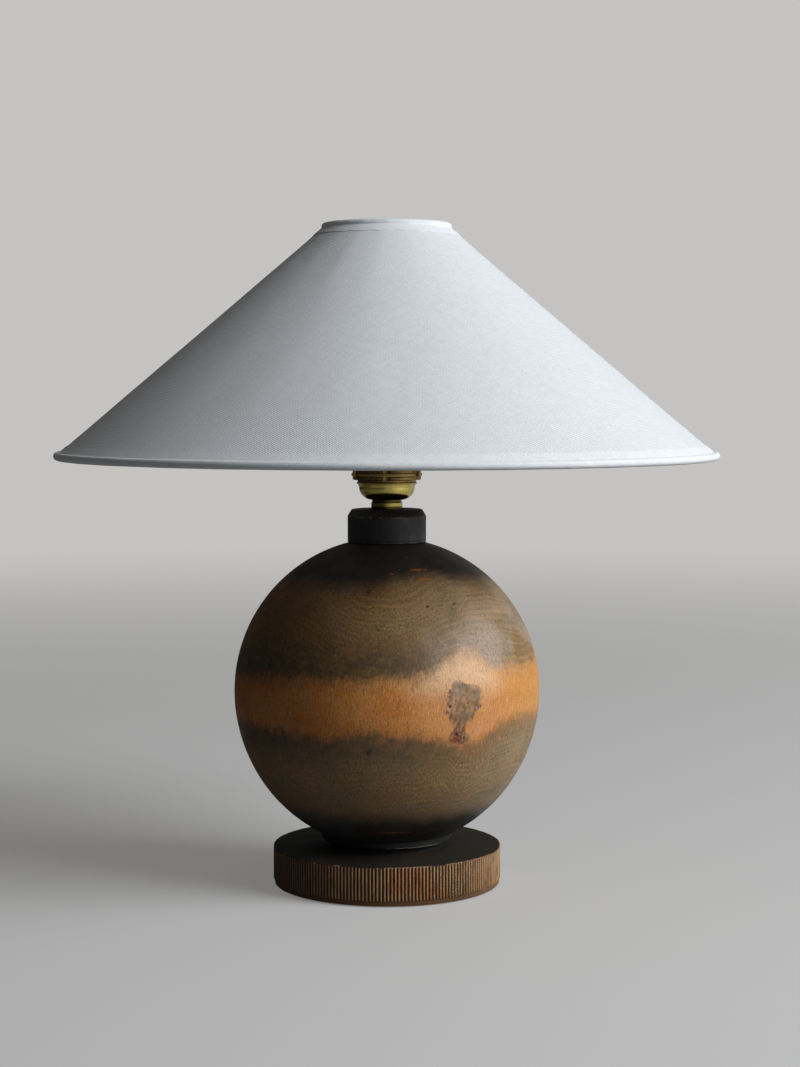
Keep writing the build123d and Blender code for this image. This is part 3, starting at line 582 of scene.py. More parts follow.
def disc_wood():
    s = Shader("reeded_wood_look", Specular_IOR_Level=0.2)
    q = s.place
    x, y, z = s.parts(q)
    r = s.length(x, y)
    turn = s.angle(x, y)
    drift = s.noise(q, 22, 3, 0.55)
    streaks = s.noise(q, (1000, 1000, 130), 3, 0.6)

    # Reeded side with a browner foot, painted shade to the left and in the grooves between
    # the reeds, and painted sheen towards the right
    groove_shade = s.fade(r, (DISC_R - 0.5) * MM, (DISC_R - 0.1) * MM)
    foot = s.fade(z + (drift - 0.5) * 0.004, 0.0024, 0.0062)
    side = s.paint(
        s.mix(s.step(drift, 0.34, 0.62), (148, 114, 80), (188, 148, 108)),
        (s.sweep(turn, -60, -2, 0.65, 0), (66, 44, 26)),
        (s.step(s.noise(q, 47), 0.52, 0.7, 0, 0.55), (176, 108, 62)),
        (s.sweep(turn, 45, 85, 0, 0.6), (176, 148, 116)),
        (s.step(streaks, 0.42, 0.66, 0, 0.5), (74, 46, 28)),
        (groove_shade * s.sweep(turn, 35, 65, 0.93, 0.55), (30, 19, 12)), (foot * 0.55, (112, 80, 52)))

    # Blackened top with turned rings, grain and a few worn flecks
    rings = s.math("FRACT", r * 640 + s.noise(q, 14) * 2)
    rings = s.ramp(rings, (0, 1), (0.3, 0.25), (0.75, 0), (1, 1))
    grain = s.noise(q, (60, 700, 60), 3, 0.6)
    fleck = s.step(s.noise(q, (160, 420, 100), 2, 0.6), 0.7, 0.76)
    top = s.paint(
        s.mix(s.step(drift, 0.38, 0.62), (23, 21, 18), (37, 33, 26)),
        (rings * 0.35, (54, 47, 34)), (s.step(grain, 0.52, 0.7, 0, 0.45), (22, 20, 17)),
        (fleck * 0.8, (150, 84, 40)))

    # Top edge rubbed pale, more of it to the right
    face = s.step(z, (DISC_TOP - 0.55) * MM, (DISC_TOP - 0.25) * MM)
    rub = s.noise(q, 95, 3, 0.6) + s.curve(turn, ARRIS_RUB, 0, 0.2)
    arris = s.step(z, (DISC_TOP - 1) * MM, (DISC_TOP - 0.35) * MM)
    arris = arris * s.step(r, (DISC_R - 0.75) * MM, (DISC_R - 0.3) * MM) * s.step(rub, 0.5, 0.6)
    colour = s.paint(side, (face, top), (arris * 0.75, (176, 138, 112)))
    rough = s.step(drift, 0.3, 0.7, 0.46, 0.6) + face * 0.24
    return s.finish(colour, rough, s.bump(streaks * 0.6 + rings * 0.18, 0.1, 0.5))


def collar_wood():
    s = Shader("black_wood_look", Specular_IOR_Level=0.5)
    q = s.place
    x, y, z = s.parts(q)
    cloudy = s.noise(q, 120, 3, 0.6)
    grain = s.noise(q, (900, 900, 90), 3, 0.6)
    rub = s.noise(q, 420, 3, 0.65, (0.3, 0.1, 0.2))
    low_edge = s.peak(z, *[(COLLAR_LOW + up) * MM for up in (0.4, 0.9, 1, 1.9)])
    low_edge = low_edge * s.sweep(s.angle(x, y), -5, 30, 0.25, 1)
    from_chamfer = s.size(z - (HOLDER_LOW - CHAMFER_H) * MM)
    high_edge = s.fade(from_chamfer, 0.0001, 0.0008)
    edges = s.most(low_edge, high_edge) * s.step(rub, 0.44, 0.62)
    chips = s.step(s.noise(q, 330, move=(0.9, 0.4, 0.7)), 0.735, 0.765)
    colour = s.paint(
        s.mix(s.step(cloudy, 0.35, 0.68), (10, 9, 9), (25, 23, 24)),
        (s.step(grain, 0.52, 0.72, 0, 0.5), (62, 58, 58)), (edges * 0.62, (128, 120, 122)),
        (chips * 0.8, (168, 158, 150)))
    lathe_marks = s.math("SINE", z * 9000)
    height = cloudy * 0.8 + grain * 0.5 + lathe_marks * 0.06 + chips * -1
    return s.finish(colour, s.step(cloudy, 0.3, 0.7, 0.44, 0.62), s.bump(height, 0.1, 0.5))


def metal(name, light, dark, rough, tarnish, spots=None, shaded_waist=False):
    """Turned or drawn metal: fine marks round the lamp's axis, and tarnish, and if asked, painted shade on
    the waist of the neck under the bowl.
    """
    s = Shader(name, Metallic=1)
    q = s.place
    cloud = s.noise(q, 90, 4, 0.6)
    hair = s.noise(q, (60, 60, 9000), 2, 0.6)
    colour = s.mix(s.step(cloud, 0.5 - tarnish * 0.3, 0.75, 0, tarnish), light, dark)
    colour = s.mix(s.step(hair, 0.35, 0.75, 0, 0.22), colour, dark)
    if spots:
        spot = s.step(s.noise(q, 520, move=(0.2, 0.5, 0.8)), 0.66, 0.72)
        colour = s.mix(spot * 0.7, colour, spots)
    if shaded_waist:
        # Painted shade on the neck's waist, where the bowl above shades it
        z = s.parts(q)[2]
        from_band = s.size(z - (HOLDER_LOW + 2.7) * MM)
        on_neck = s.fade(z, (HOLDER_LOW + 6) * MM, (HOLDER_LOW + 7.5) * MM)
        waist_shade = s.step(from_band, 0.0007, 0.0012) * on_neck
        colour = s.mix(waist_shade * 0.85, colour, (46, 36, 18))
    height = hair * 0.5 + s.noise(q, 700) * 0.4
    return s.finish(colour, s.step(cloud, 0.3, 0.7, *rough) + hair * 0.06, s.bump(height, 0.02, 0.5))


def threaded_brass():
    s = Shader("barrel_brass_look", Metallic=1)
    x, y, z = s.parts(s.place)
    cloud = s.noise(s.place, 120, 3, 0.6)
    saw = s.math("PINGPONG", z * (1 / (BARREL_PITCH * MM)) + s.angle(x, y), 0.5)
    colour = s.mix(s.step(saw, 0, 0.3), (92, 70, 36), (196, 164, 96))
    colour = s.mix(s.step(cloud, 0.45, 0.75, 0, 0.5), colour, (110, 84, 48))
    return s.finish(colour, s.step(cloud, 0.3, 0.7, 0.28, 0.42), s.bump(saw, 0.35, 0.8))


def linen(name, contrast=1):
    """Plain weave on the cloth's own flat coordinates, with uneven threads."""
    s = Shader(name, Specular_IOR_Level=0.25, Sheen_Weight=0.12, Sheen_Roughness=0.5)
    u, v, _ = s.parts(s.flat)
    wander_u = s.uneven(s.flat, 45) * 0.9
    wander_v = s.uneven(s.flat, 45, 2, 0.5, (3, 1, 0)) * 0.9
    u = u * (1 / (THREAD_PITCH * MM)) + wander_u
    v = v * (1 / (THREAD_PITCH * MM)) + wander_v
    cell_u, cell_v = s.math("FLOOR", u), s.math("FLOOR", v)
    over = s.math("FRACT", (cell_u + cell_v) * 0.5) * 2
    under = 1 - over
    bulge_u = s.math("SINE", s.math("FRACT", u) * pi)
    bulge_v = s.math("SINE", s.math("FRACT", v) * pi)
    warp = bulge_u * s.math("MULTIPLY_ADD", bulge_v, 0.5, 0.5)
    weft = bulge_v * s.math("MULTIPLY_ADD", bulge_u, 0.5, 0.5)
    weave = warp * over + weft * under

    def thread_tone(cell, run, seed):
        return s.noise(s.node("CombineXYZ", cell * 7.31, run * 0.11, seed), 1, 2, 0.6)

    tone = thread_tone(cell_u, v, 1) * over + thread_tone(cell_v, u, 9) * under
    slub = s.step(tone, 0.62, 0.74)
    colour = s.paint(
        s.mix(s.step(tone, 0.3, 0.7), (236, 242, 249), (248, 252, 255)),
        (s.step(weave, 0.05, 0.5, 0.55 * contrast, 0), (184, 192, 203)),
        (s.step(s.noise(s.place, 9, 3), 0.35, 0.75, 0, 0.06), (214, 210, 205)))
    height = weave + slub * 0.4 + (tone - 0.5) * 0.3
    return s.finish(colour, s.step(tone, 0.3, 0.7, 0.78, 0.92), s.bump(height, 0.27, 0.7 * contrast))


def plain(name, dark, light, scale, rough, bump_mm=0.02, **sockets):
    """A moulded, glassy or coated surface with faint cloud and grain."""
    s = Shader(name, **sockets)
    cloud = s.noise(s.place, scale, 3, 0.6)
    colour = s.mix(s.step(cloud, 0.32, 0.68), dark, light)
    grain = s.noise(s.place, scale * 7)
    return s.finish(colour, s.step(cloud, 0.3, 0.7, *rough), s.bump(grain, bump_mm, 0.5))


THREAD_PITCH, BARREL_PITCH = 1.02, 1.5
BRASS = metal("holder_brass_look", (216, 196, 110), (84, 64, 28), (0.09, 0.16), 0.5, (70, 48, 24), True)
OLD_BRASS = metal("aged_brass_look", (190, 158, 92), (96, 72, 40), (0.26, 0.42), 0.6)
RING_BRASS = metal("ring_brass_look", (164, 138, 82), (70, 48, 28), (0.2, 0.32), 0.85, (62, 38, 22))
THREAD_BRASS = threaded_brass()
WIRE = metal("frame_wire_look", (178, 148, 92), (116, 90, 52), (0.3, 0.44), 0.4)
STEEL = metal("zinc_steel_look", (178, 180, 182), (120, 122, 124), (0.32, 0.5), 0.4)
SOLDER = metal("solder_look", (168, 168, 166), (112, 112, 112), (0.36, 0.56), 0.6)
ALLOY = metal("bulb_alloy_look", (206, 204, 198), (150, 148, 142), (0.28, 0.42), 0.35)
BALL_WOOD, DISC_WOOD, COLLAR_WOOD = ball_wood(), disc_wood(), collar_wood()
LINEN, BINDING = linen("linen_look"), linen("linen_binding_look", contrast=0.5)
LINING = plain("lining_look", (224, 221, 214), (234, 232, 226), 60, (0.42, 0.58), 0.03,
               Specular_IOR_Level=0.4)
OPAL = plain("opal_glass_look", (228, 227, 220), (240, 239, 234), 25, (0.16, 0.24), 0.01, Coat_Weight=0.4)
PHENOLIC = plain("block_plastic_look", (44, 28, 20), (66, 42, 28), 130, (0.22, 0.36))
VITRITE = plain("black_glass_look", (16, 16, 20), (30, 30, 34), 200, (0.1, 0.22), Coat_Weight=0.5)
FELT = plain("felt_look", (28, 46, 34), (48, 70, 52), 900, (0.9, 1), 0.35, Sheen_Weight=0.4)


# Ball. Knot pits are (across, above, size, depth), in thousandths
KNOT_PITS = np.array((
    (-87, -32, 10, 1000), (-47, 2, 7, 600), (40, -22, 8, 700), (10, -50, 8, 500), (108, -41, 12, 600),
    (-34, -210, 9, 800), (-10, -200, 7, 800), (-20, -250, 8, 600), (17, -240, 7, 600), (85, 40, 12, 400),
    (-24, 80, 14, 400))) / 1000


def ball_relief(r, z, angle):
    """Hand-turned unevenness, and the pits and raised lip of the knot."""
    up = (z - BALL_Z) / BALL_R
    sideways = np.sin(angle) * r / BALL_R
    front = -np.cos(angle) * r / BALL_R
    on_ball = np.clip((r - FOOT_R) * 0.2, 0, 1) * np.clip(1 - np.abs(up) + 0.25, 0, 1)
    sway = 0.05 * np.sin(9 * up + 3 * angle) + 0.04 * np.sin(23 * up - 2 * angle + 1) + 0.02 * np.sin(61 * up)
    x = sideways * cos(KNOT_ANGLE) + front * sin(KNOT_ANGLE)
    y = up - KNOT_HEIGHT
    near = sideways * sin(KNOT_ANGLE) - front * cos(KNOT_ANGLE) > 0
    lip = 0.22 * np.exp(-(((np.hypot(x, y / 0.9) - 0.115) / 0.03) ** 2))
    dish = -0.3 * np.exp(-((np.hypot(x, y * 1.1) / 0.08) ** 2))
    pits = 0
    for px, py, size, deep in KNOT_PITS:
        pits = pits - deep * np.exp(-(((x - px) ** 2 + (y - py) ** 2) / size**2))
    scale = (on_ball * sway * 0.5 + near * (lip + dish + pits)) / BALL_R
    inner = r > STEM_HOLE_R + 1
    return np.where(inner, scale * r, 0), np.where(inner, scale * (z - BALL_Z) * (np.abs(up) < 0.93), 0)


def ball_angles():
    """Angles round the ball, close together across the knot."""
    start, end = KNOT_ANGLE - 0.24, KNOT_ANGLE + 0.24
    across_knot = np.linspace(start, end, 150, endpoint=False)
    return np.concatenate([across_knot, np.linspace(end, start + tau, 250, endpoint=False)])


def ball_outline():
    """From the bore over the foot, with rings close together round the knot."""
    latitude_low = -np.degrees(np.arccos(FOOT_R / BALL_R))
    latitude_high = np.degrees(np.arccos(COLLAR_R / BALL_R))
    knot_low, knot_high = -18, 11
    latitudes = np.radians(np.concatenate([
        np.linspace(latitude_low, knot_low, 50, endpoint=False),
        np.linspace(knot_low, knot_high, 130, endpoint=False),
        np.linspace(knot_high, latitude_high, 70)]))
    up = np.where(latitudes < 0, BALL_UNDER_R, BALL_R)
    sphere = np.stack([BALL_R * np.cos(latitudes), BALL_Z + up * np.sin(latitudes)], 1)
    lip_z = BALL_LOW + FOOT_COVE_R
    lip_r = FOOT_R - FOOT_LIP_R
    cove = arc((lip_r, BALL_LOW), FOOT_COVE_R, 180, 90, 10)
    lip = arc((lip_r, lip_z + FOOT_LIP_R), FOOT_LIP_R, -90, 0, 7)
    upright = np.array([(FOOT_R, z) for z in np.linspace(lip_z + 1.4, FOOT_TOP - 0.5, 4)])
    bottom = np.array([(STEM_HOLE_R, BALL_LOW), ((lip_r - FOOT_COVE_R) * 0.6, BALL_LOW)])
    top = np.array([(COLLAR_R * 0.6, COLLAR_LOW), (STEM_HOLE_R, COLLAR_LOW)])
    return np.concatenate([bottom, cove, lip, upright, sphere, top])


settle(turned("ball", ball_outline(), BALL_WOOD, ball_angles(), ball_relief), "ball_body")

# Disc, with a nut recess and a seat for the felt below, and a bore for the cord's bush
REEDS, REED_DEPTH, REED_FOOT, SAMPLES_A_REED = 204, 0.65, 2.6, 10
RECESS_R, RECESS_H = 24, 5.4
SEAT_R, SEAT_H = DISC_R - 6.7, 1.5
BUSH_FLANGE_R, BUSH_BARREL_R, SPOT_Y, BORE_SIDES = 7, 4.7, 60.6, 64
INLET_Z = sum(node_heights("cord_bush")) / 2
worn_top = waves(4, 9, 3, 40)
chips = waves(8, 14, 20, 160)


def reed_relief(r, z, angle):
    """Rounded reeds cut into the edge, fading out under the top arris."""
    edge = (r > DISC_R - 0.9) & (z > DISC_BOTTOM + REED_FOOT)
    phase = (angle * REEDS / tau + 0.5) % 1
    groove = np.clip(1 - np.abs(phase - 0.5) * 2 / 0.7, 0, 1) ** 0.85
    crown = 0.1 * np.cos(phase * tau) - 0.1
    at_top = np.clip((DISC_TOP - z) / 0.5, 0.35, 1)
    out = np.where(edge, -REED_DEPTH * groove * at_top + crown * (groove < 0.5), 0)
    worn = -0.05 * (1 + chips(angle)) - 0.04 * (1 + worn_top(angle))
    wear = np.where((z > DISC_TOP - 0.7) & (r > DISC_R - 1), worn, 0)
    return out + np.clip(wear, -0.25, 0), np.zeros_like(out)


def disc_outline():
    foot_r, foot_top = DISC_R - REED_DEPTH, DISC_BOTTOM + REED_FOOT
    points = [
        (STEM_HOLE_R, DISC_TOP), (STEM_HOLE_R, DISC_TOP - RECESS_H), (RECESS_R, DISC_TOP - RECESS_H, 0.8),
        (RECESS_R, DISC_BOTTOM + SEAT_H), (SEAT_R, DISC_BOTTOM + SEAT_H), (SEAT_R, DISC_BOTTOM, 0.4),
        (foot_r, DISC_BOTTOM, 0.6), (foot_r, foot_top, 0.15), (DISC_R, foot_top + 0.15, 0.15),
        (DISC_R, DISC_TOP, 0.38)]
    return rounded(points, 0.25, 3, 4)


def bore(piece, radius, start_y, end_y, z):
    """Cuts a round hole along Y into a piece."""
    turn = evenly(BORE_SIDES)
    x, up = radius * np.cos(turn), z + radius * np.sin(turn)
    verts = np.concatenate([np.stack([x, np.full(BORE_SIDES, y), up], 1) for y in (start_y, end_y)])
    near, far = list(range(BORE_SIDES)), list(range(BORE_SIDES, 2 * BORE_SIDES))
    sides = [[(k + 1) % BORE_SIDES, k, far[k], far[(k + 1) % BORE_SIDES]] for k in near]
    mesh = bpy.data.meshes.new("cutter")
    mesh.from_pydata((verts * MM).tolist(), [], [near, far[::-1], *sides])
    cutter = in_scene("cutter", mesh)
    cut = piece.modifiers.new("cut", "BOOLEAN")
    cut.operation, cut.solver, cut.object = "DIFFERENCE", "MANIFOLD", cutter
    made = bpy.data.meshes.new_from_object(piece.evaluated_get(bpy.context.evaluated_depsgraph_get()))
    piece.modifiers.remove(cut)
    piece.data = made
    bpy.data.objects.remove(cutter)


disc = turned("reeded_disc", disc_outline(), DISC_WOOD, evenly(REEDS * SAMPLES_A_REED), reed_relief)
bore(disc, BUSH_FLANGE_R + 0.1, SPOT_Y, 70, INLET_Z)
bore(disc, BUSH_BARREL_R + 0.1, 15, SPOT_Y + 1, INLET_Z)
settle(disc, "base_disc")

# Felt and collar
FELT_R, FELT_T = 55, 2


def dented(low_r, depth, wave, twist=0):
    """A relief of shallow dents on the part that lies beyond low_r."""
    return lambda r, z, angle: (np.where(r > low_r, depth * (wave(angle + z * twist) - 1), 0), 0 * r)


def collar_outline():
    """A straight side with a fine groove near its foot, and a chamfered top."""
    top, low, side = HOLDER_LOW, COLLAR_LOW, COLLAR_R
    points = [
        (STEM_HOLE_R, top), (STEM_HOLE_R, low), (side - 0.7, low, 0.1), (side, low + 0.7, 0.35),
        (side, low + 1.5, 0.1), (side - 0.12, low + 1.65, 0.05), (side - 0.12, low + 1.85, 0.05),
        (side, low + 2, 0.1), (side, top - CHAMFER_H, 0.5), (side - 2.2, top, 0.45)]
    return rounded(points, 0.25, 4, 1.2)


felt_outline = rounded([(0, 0), (FELT_R, 0, 0.5), (FELT_R, FELT_T, 0.4), (0, FELT_T)], 0.3, 4, 3)
felt = turned("felt_pad", felt_outline, FELT, evenly(256), dented(FELT_R - 1, 0.1, waves(21, 12, 30, 120)))
settle(felt, "base_felt")
dents = dented(15, 0.035, waves(31, 10, 2, 24), 0.3)
settle(turned("collar", collar_outline(), COLLAR_WOOD, evenly(220), dents), "neck_collar")

# Shade. In its section, run goes up the slope from the middle of the bottom bead and
# out is square to it.
CONE_L = SHADE_BOTTOM_R / SLOPE_IN
SEAM_FROM, SEAM_TO = LAP_L - 1, SLOPE_L - LAP_L + 1
cover_waves, cover_waves_2 = waves(12, 6, 2, 9), waves(13, 8, 5, 22)
lap_waves = [waves(40 + k, 12, 3, 46) for k in range(4)]


def on_cone(run, out):
    """The radius and the height at a place in the shade's section."""
    return SHADE_BOTTOM_R - run * SLOPE_IN + out * SLOPE_UP, SHADE_BOTTOM + run * SLOPE_UP + out * SLOPE_IN


def flat_cone(run, angle):
    """The same place on the cone's flat cut."""
    return np.stack([(CONE_L - run) * np.sin(angle * SLOPE_IN), (run - CONE_L) * np.cos(angle * SLOPE_IN)], 2)


def lay_flat(piece, uvs):
    """Gives each corner of a piece's faces its place on the flat cloth."""
    layer = piece.data.uv_layers.new(name="flat")
    layer.data.foreach_set("uv", uvs.reshape(-1).astype(np.float32))


def sloped(name, section, material, count, relief, bias=None, smooth_angle=35):
    """A shell from a section of (run, out), laid out flat for its weave: as the
    cone's own flat cut, or where bias is a run, as a strip cut along that run."""
    section = np.asarray(section, float)
    rows = len(section)
    run, out, angle = np.broadcast_arrays(section[:, :1], section[:, 1:], np.linspace(-pi, pi, count + 1))
    more_run, more_out = relief(run, out, angle)
    r, z = on_cone(run + more_run, out + more_out)
    verts = np.stack([r * np.sin(angle), -r * np.cos(angle), z], 2)[:, :-1].reshape(-1, 3)
    if bias is None:
        flat = flat_cone(run, angle)
    else:
        steps = np.hypot(*np.diff(section, axis=0, prepend=section[:1]).T)
        width = np.broadcast_to(np.cumsum(steps)[:, None], angle.shape)
        flat = np.stack([angle * (CONE_L - bias) * SLOPE_IN, width], 2)
    flat = np.stack([flat[..., 0] + flat[..., 1], flat[..., 1] - flat[..., 0]], 2) * sqrt(0.5) * MM
    faces = cell_faces(rows, count, rows, count)
    uvs = np.stack([flat[a % rows, b] for a, b in cells(rows, count)], 2).reshape(-1, 4, 2)
    a, b = section, np.roll(section, -1, 0)
    if (a[:, 0] * b[:, 1] - b[:, 0] * a[:, 1]).sum() > 0:
        faces, uvs = faces[:, ::-1], uvs[:, ::-1]
    piece = make_object(name, verts, faces, material, smooth_angle)
    lay_flat(piece, uvs)
    return piece


def cover_relief(run, out, angle):
    """The linen's faint waves between the two laps."""
    free = np.clip((run - LAP_L) / 25, 0, 1) * np.clip((SLOPE_L - LAP_L - run) / 25, 0, 1)
    share = run / SLOPE_L
    wave = 0.34 * cover_waves(angle + 0.25 * share)
    wave = wave + 0.12 * cover_waves_2(angle - 0.4 * share) * np.sin(5 * share)
    return np.zeros_like(run), free * wave


def sheet_section(low, high):
    """A thin shell between two levels, from one rolled edge to the other."""
    runs = np.linspace(ROLL_R, SLOPE_L - ROLL_R, 46)
    return [(run, high) for run in runs] + [(run, low) for run in runs[::-1]]


def roll_section(start, direction):
    """A strip of linen wrapped round a wire, with a lap down each face of the shade."""
    outside, free = LINEN_T + LAP_T, 2.6
    meet = atan2(outside, sqrt(ROLL_R**2 - outside**2))
    hold = atan2(LINEN_T, sqrt(ROLL_HOLE_R**2 - LINEN_T**2))
    runs = np.linspace(LAP_L, free, 5)[1:]
    points = [(LAP_L, outside - 0.15), (LAP_L - 0.12, outside)] + [(run, outside) for run in runs]
    points += [(ROLL_R * cos(a), ROLL_R * sin(a)) for a in np.linspace(meet, tau - meet, 21)]
    points += [(run, -outside) for run in runs[::-1]] + [(LAP_L - 0.12, -outside), (LAP_L, 0.15 - outside)]
    points += [(LAP_L, -LINING_T), (free, -LINING_T)]
    points += [(ROLL_HOLE_R * cos(a), ROLL_HOLE_R * sin(a)) for a in np.linspace(tau - hold, hold, 13)]
    points += [(free, LINEN_T), (LAP_L, LINEN_T)]
    return [(start + direction * run, out) for run, out in points]


def binding(name, start, direction, count, edge, lumps):
    """A rolled edge whose lap ends unevenly and whose bead is a little lumpy."""
    def relief(run, out, angle):
        along = (run - start) * direction
        at_edge = np.clip((along - 4.5) / 3, 0, 1)
        bead = np.clip((2.4 - along) / 1.2, 0, 1) * (np.hypot(along, out) > 1.6)
        return direction * at_edge * 0.55 * edge(angle), bead * (out / ROLL_R) * 0.1 * lumps(angle)

    return sloped(name, roll_section(start, direction), BINDING, count, relief, bias=start)


def seam(name, out, thickness, width, material):
    """A lapped joint down the back: a narrow strip raised over the shell."""
    half = width / 2
    across = np.array([-half, 0.2 - half, *np.linspace(1.2 - half, half - 1.2, 5), half - 0.2, half])
    lift = np.array([0, 0.72, 0.9, 1, 1, 1, 0.9, 0.72, 0]) * thickness
    run, u = np.meshgrid(np.linspace(SEAM_FROM, SEAM_TO, 60), across, indexing="ij")
    angle = u / ((CONE_L - run) * SLOPE_IN)
    wave = cover_relief(run, out, angle + pi)[1]
    sheets = []
    for level in (out + lift, out - 0.12 * np.sign(thickness)):
        r, z = on_cone(run, level + wave)
        sheets.append(np.stack([-r * np.sin(angle), r * np.cos(angle), z], 2).reshape(-1, 3))
    n, m = run.shape
    top = cell_faces(n - 1, m - 1, n, m)
    number = np.arange(n * m).reshape(n, m)
    ring = np.concatenate([number[0, :-1], number[:-1, -1], number[-1, :0:-1], number[:0:-1, 0]])
    following = np.roll(ring, -1)
    wall = np.stack([ring, ring + n * m, following + n * m, following], 1)
    faces = np.concatenate([top, top[:, ::-1] + n * m, wall])
    if thickness < 0:
        faces = faces[:, ::-1]
    piece = make_object(name, np.concatenate(sheets), faces, material, 60)
    flat = flat_cone(run, angle).reshape(-1, 2) * MM
    lay_flat(piece, np.concatenate([flat, flat])[faces.reshape(-1)])
    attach(piece, "shade")
    return piece


cover = sloped("linen_cover", sheet_section(0, LINEN_T), LINEN, 360, cover_relief, smooth_angle=60)
settle(cover, "shade_cover")
laminate = sloped("shade_laminate", sheet_section(-LINING_T, 0), LINING, 240, cover_relief, smooth_angle=60)
settle(laminate, "shade_lining")
settle(binding("bottom_binding", 0, 1, 540, *lap_waves[:2]), "shade_bottom_trim")
settle(binding("top_binding", SLOPE_L, -1, 240, *lap_waves[2:]), "shade_top_trim")
cover_seam = seam("cover_seam", LINEN_T, 0.36, 10, LINEN)
seam("laminate_seam", -LINING_T, -0.4, 8, LINING)

# Flat size of the cover: a sector of a ring, with the cone's own opening angle
inner_l, outer_l = (CONE_L - SLOPE_L + ROLL_R) * MM, (CONE_L - ROLL_R) * MM
2 * outer_l

# Plunger springs: closed coils made in place of the CAD springs, which are hidden
SPRING_WIRE_R, SPRING_TURNS, SPRING_STEPS, SPRING_SIDES = 0.22, 6, 168, 8
for contact in ("rear", "front"):
    low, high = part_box(f"plunger_spring_{contact}")
    middle = (low + high) / 2
    coil_r = (high.x - low.x) / 2 / MM - SPRING_WIRE_R
    along, round_wire = np.meshgrid(np.linspace(0, 1, SPRING_STEPS), evenly(SPRING_SIDES), indexing="ij")
    wire_r = np.where((along > 0) & (along < 1), SPRING_WIRE_R, 0)
    reach = coil_r + wire_r * np.cos(round_wire)
    rise = low.z / MM + SPRING_WIRE_R + ((high.z - low.z) / MM - 2 * SPRING_WIRE_R) * along
    turn = tau * SPRING_TURNS * along
    x, y = middle.x / MM + reach * np.cos(turn), middle.y / MM + reach * np.sin(turn)
    verts = np.stack([x, y, rise + wire_r * np.sin(round_wire)], 2).reshape(-1, 3)
    faces = cell_faces(SPRING_STEPS - 1, SPRING_SIDES, SPRING_STEPS, SPRING_SIDES)[:, ::-1]
    coil = make_object(f"coil_{contact}", verts, faces, STEEL, 60, merge=True)
    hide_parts(f"plunger_spring_{contact}")
    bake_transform(coil)

# CAD pieces that keep their own shape
FINISHES = (
    (OLD_BRASS, "cord_bush terminal_sleeves plunger_rear plunger_front"),
    (BRASS, "holder_cap"),
    (STEEL, "cap_grub_screw terminal_screws stem_tube stem_washer stem_nut"),
    (THREAD_BRASS, "holder_barrel"),
    (PHENOLIC, "contact_block"),
    (RING_BRASS, "lower_shade_ring upper_shade_ring"),
    (WIRE, "fitter_ring fitter_arm_rear fitter_arm_front_left fitter_arm_front_right shade_top_wire "
           "shade_bottom_wire"),
    (OPAL, "bulb_glass"),
    (ALLOY, "bulb_cap bulb_pins"),
    (VITRITE, "bulb_insulator"),
    (SOLDER, "bulb_contacts"))
for material, nodes in FINISHES:
    for node in nodes.split():
        for place in frame["nodes"][node].material_slots:
            place.material = material

# Floor, light and camera. A colour of three numbers is written as 0 to 255, one of
# four as the shader takes it
BACK_COLOUR, DIM_COLOUR = (196, 195, 193), (44, 44, 44)
WORLD_LIGHT = 0.072
FLOOR_GLOW = 0.05
FLOOR_R, FLOOR_SIDES = 30, 64


def pale(s, lit, seen):
    """A strength that is seen by the camera and in reflections, and lit for the rest."""
    rays = s.new("LightPath").outputs
    kinds = ("Is Camera Ray", "Is Glossy Ray", "Is Transmission Ray")
    return s.mix(s.most(*[Value(s, rays[kind]) for kind in kinds]), lit, seen)


def room(s, side):
    """The backdrop as the camera sees it, and dimmer towards the left in reflections."""
    across = s.mix(s.step(side, -0.6, 0.9), DIM_COLOUR, BACK_COLOUR)
    return s.mix(Value(s, s.new("LightPath").outputs["Is Camera Ray"]), across, BACK_COLOUR)


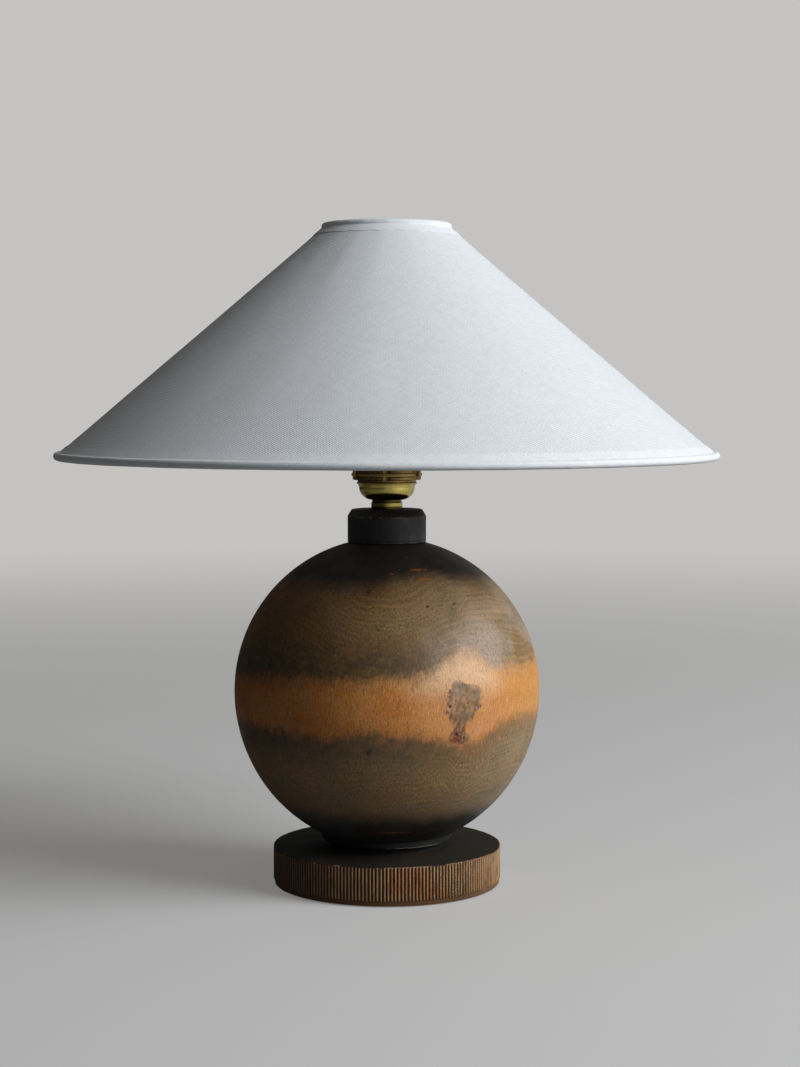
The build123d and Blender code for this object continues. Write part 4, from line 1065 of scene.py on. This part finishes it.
# The floor throws less light back at the lamp than it shows, and fades into the backdrop
ground = Shader("floor_look", Specular_IOR_Level=0.2)
floor_cloud = ground.step(ground.noise(ground.place, 1.3, 3), 0.3, 0.7)
floor_tone = ground.mix(floor_cloud, (218, 219, 220), (223, 224, 225))
ground.finish(pale(ground, (150, 150, 150), floor_tone), 0.7)
x, y, _ = ground.parts(ground.place)
distance = ground.length(x, y)
far_floor = room(ground, ground.math("DIVIDE", x, distance))
glow = ground.node("Emission", pale(ground, (FLOOR_GLOW, FLOOR_GLOW, FLOOR_GLOW, 1), far_floor))
near_floor = Value(ground, ground.surface.outputs[0])
shown_floor = ground.node("MixShader", ground.step(distance, 0.4, 2.6, 0.3, 1), near_floor, glow)
ground.put(shown_floor, ground.tree.nodes["Material Output"].inputs["Surface"])
floor_mesh = bpy.data.meshes.new("floor")
rim = [(FLOOR_R * cos(a), FLOOR_R * sin(a), 0) for a in evenly(FLOOR_SIDES)]
floor_mesh.from_pydata(rim, [], [list(range(FLOOR_SIDES))])
floor_mesh.materials.append(ground.material)
floor = in_scene("floor", floor_mesh)

world = bpy.data.worlds.new("studio")
SCENE.world = world
world.use_nodes = True
sky = Nodes(world.node_tree)
facing = sky.new("TexCoord").outputs["Generated"]
lit = (1.06 * WORLD_LIGHT, WORLD_LIGHT, 0.94 * WORLD_LIGHT, 1)
seen = room(sky, sky.parts(Value(sky, facing))[0])
sky.put(pale(sky, lit, seen), sky.tree.nodes["Background"].inputs["Color"])

KEY_SIDE, KEY_UP, KEY_FAR, KEY_AIM_Z = radians(66), radians(27), 2.4, 0.2
key = in_scene("key", bpy.data.lights.new("key", "AREA"))
key.data.shape, key.data.size, key.data.energy = "DISK", 1.7, 64
key.data.color = (0.975, 0.99, 1)
level_far = KEY_FAR * cos(KEY_UP)
key.location = (level_far * sin(KEY_SIDE), -level_far * cos(KEY_SIDE), KEY_AIM_Z + KEY_FAR * sin(KEY_UP))
key.rotation_euler = (pi / 2 - KEY_UP, 0, KEY_SIDE)

# The camera stands where the photograph's was, worked out from the lamp's level rims
CAMERA_PLACE, CAMERA_TILT, LENS_MM, SENSOR_MM = (0.0071, -1.1574, 0.2678), radians(86.17), 72.37, 36
camera = in_scene("camera", bpy.data.cameras.new("camera"))
camera.location = CAMERA_PLACE
camera.rotation_euler = (CAMERA_TILT, 0, 0)
camera.data.lens = LENS_MM
camera.data.sensor_width = SENSOR_MM
SCENE.camera = camera
SCENE.view_settings.view_transform = "Standard"

bpy.context.view_layer.update()
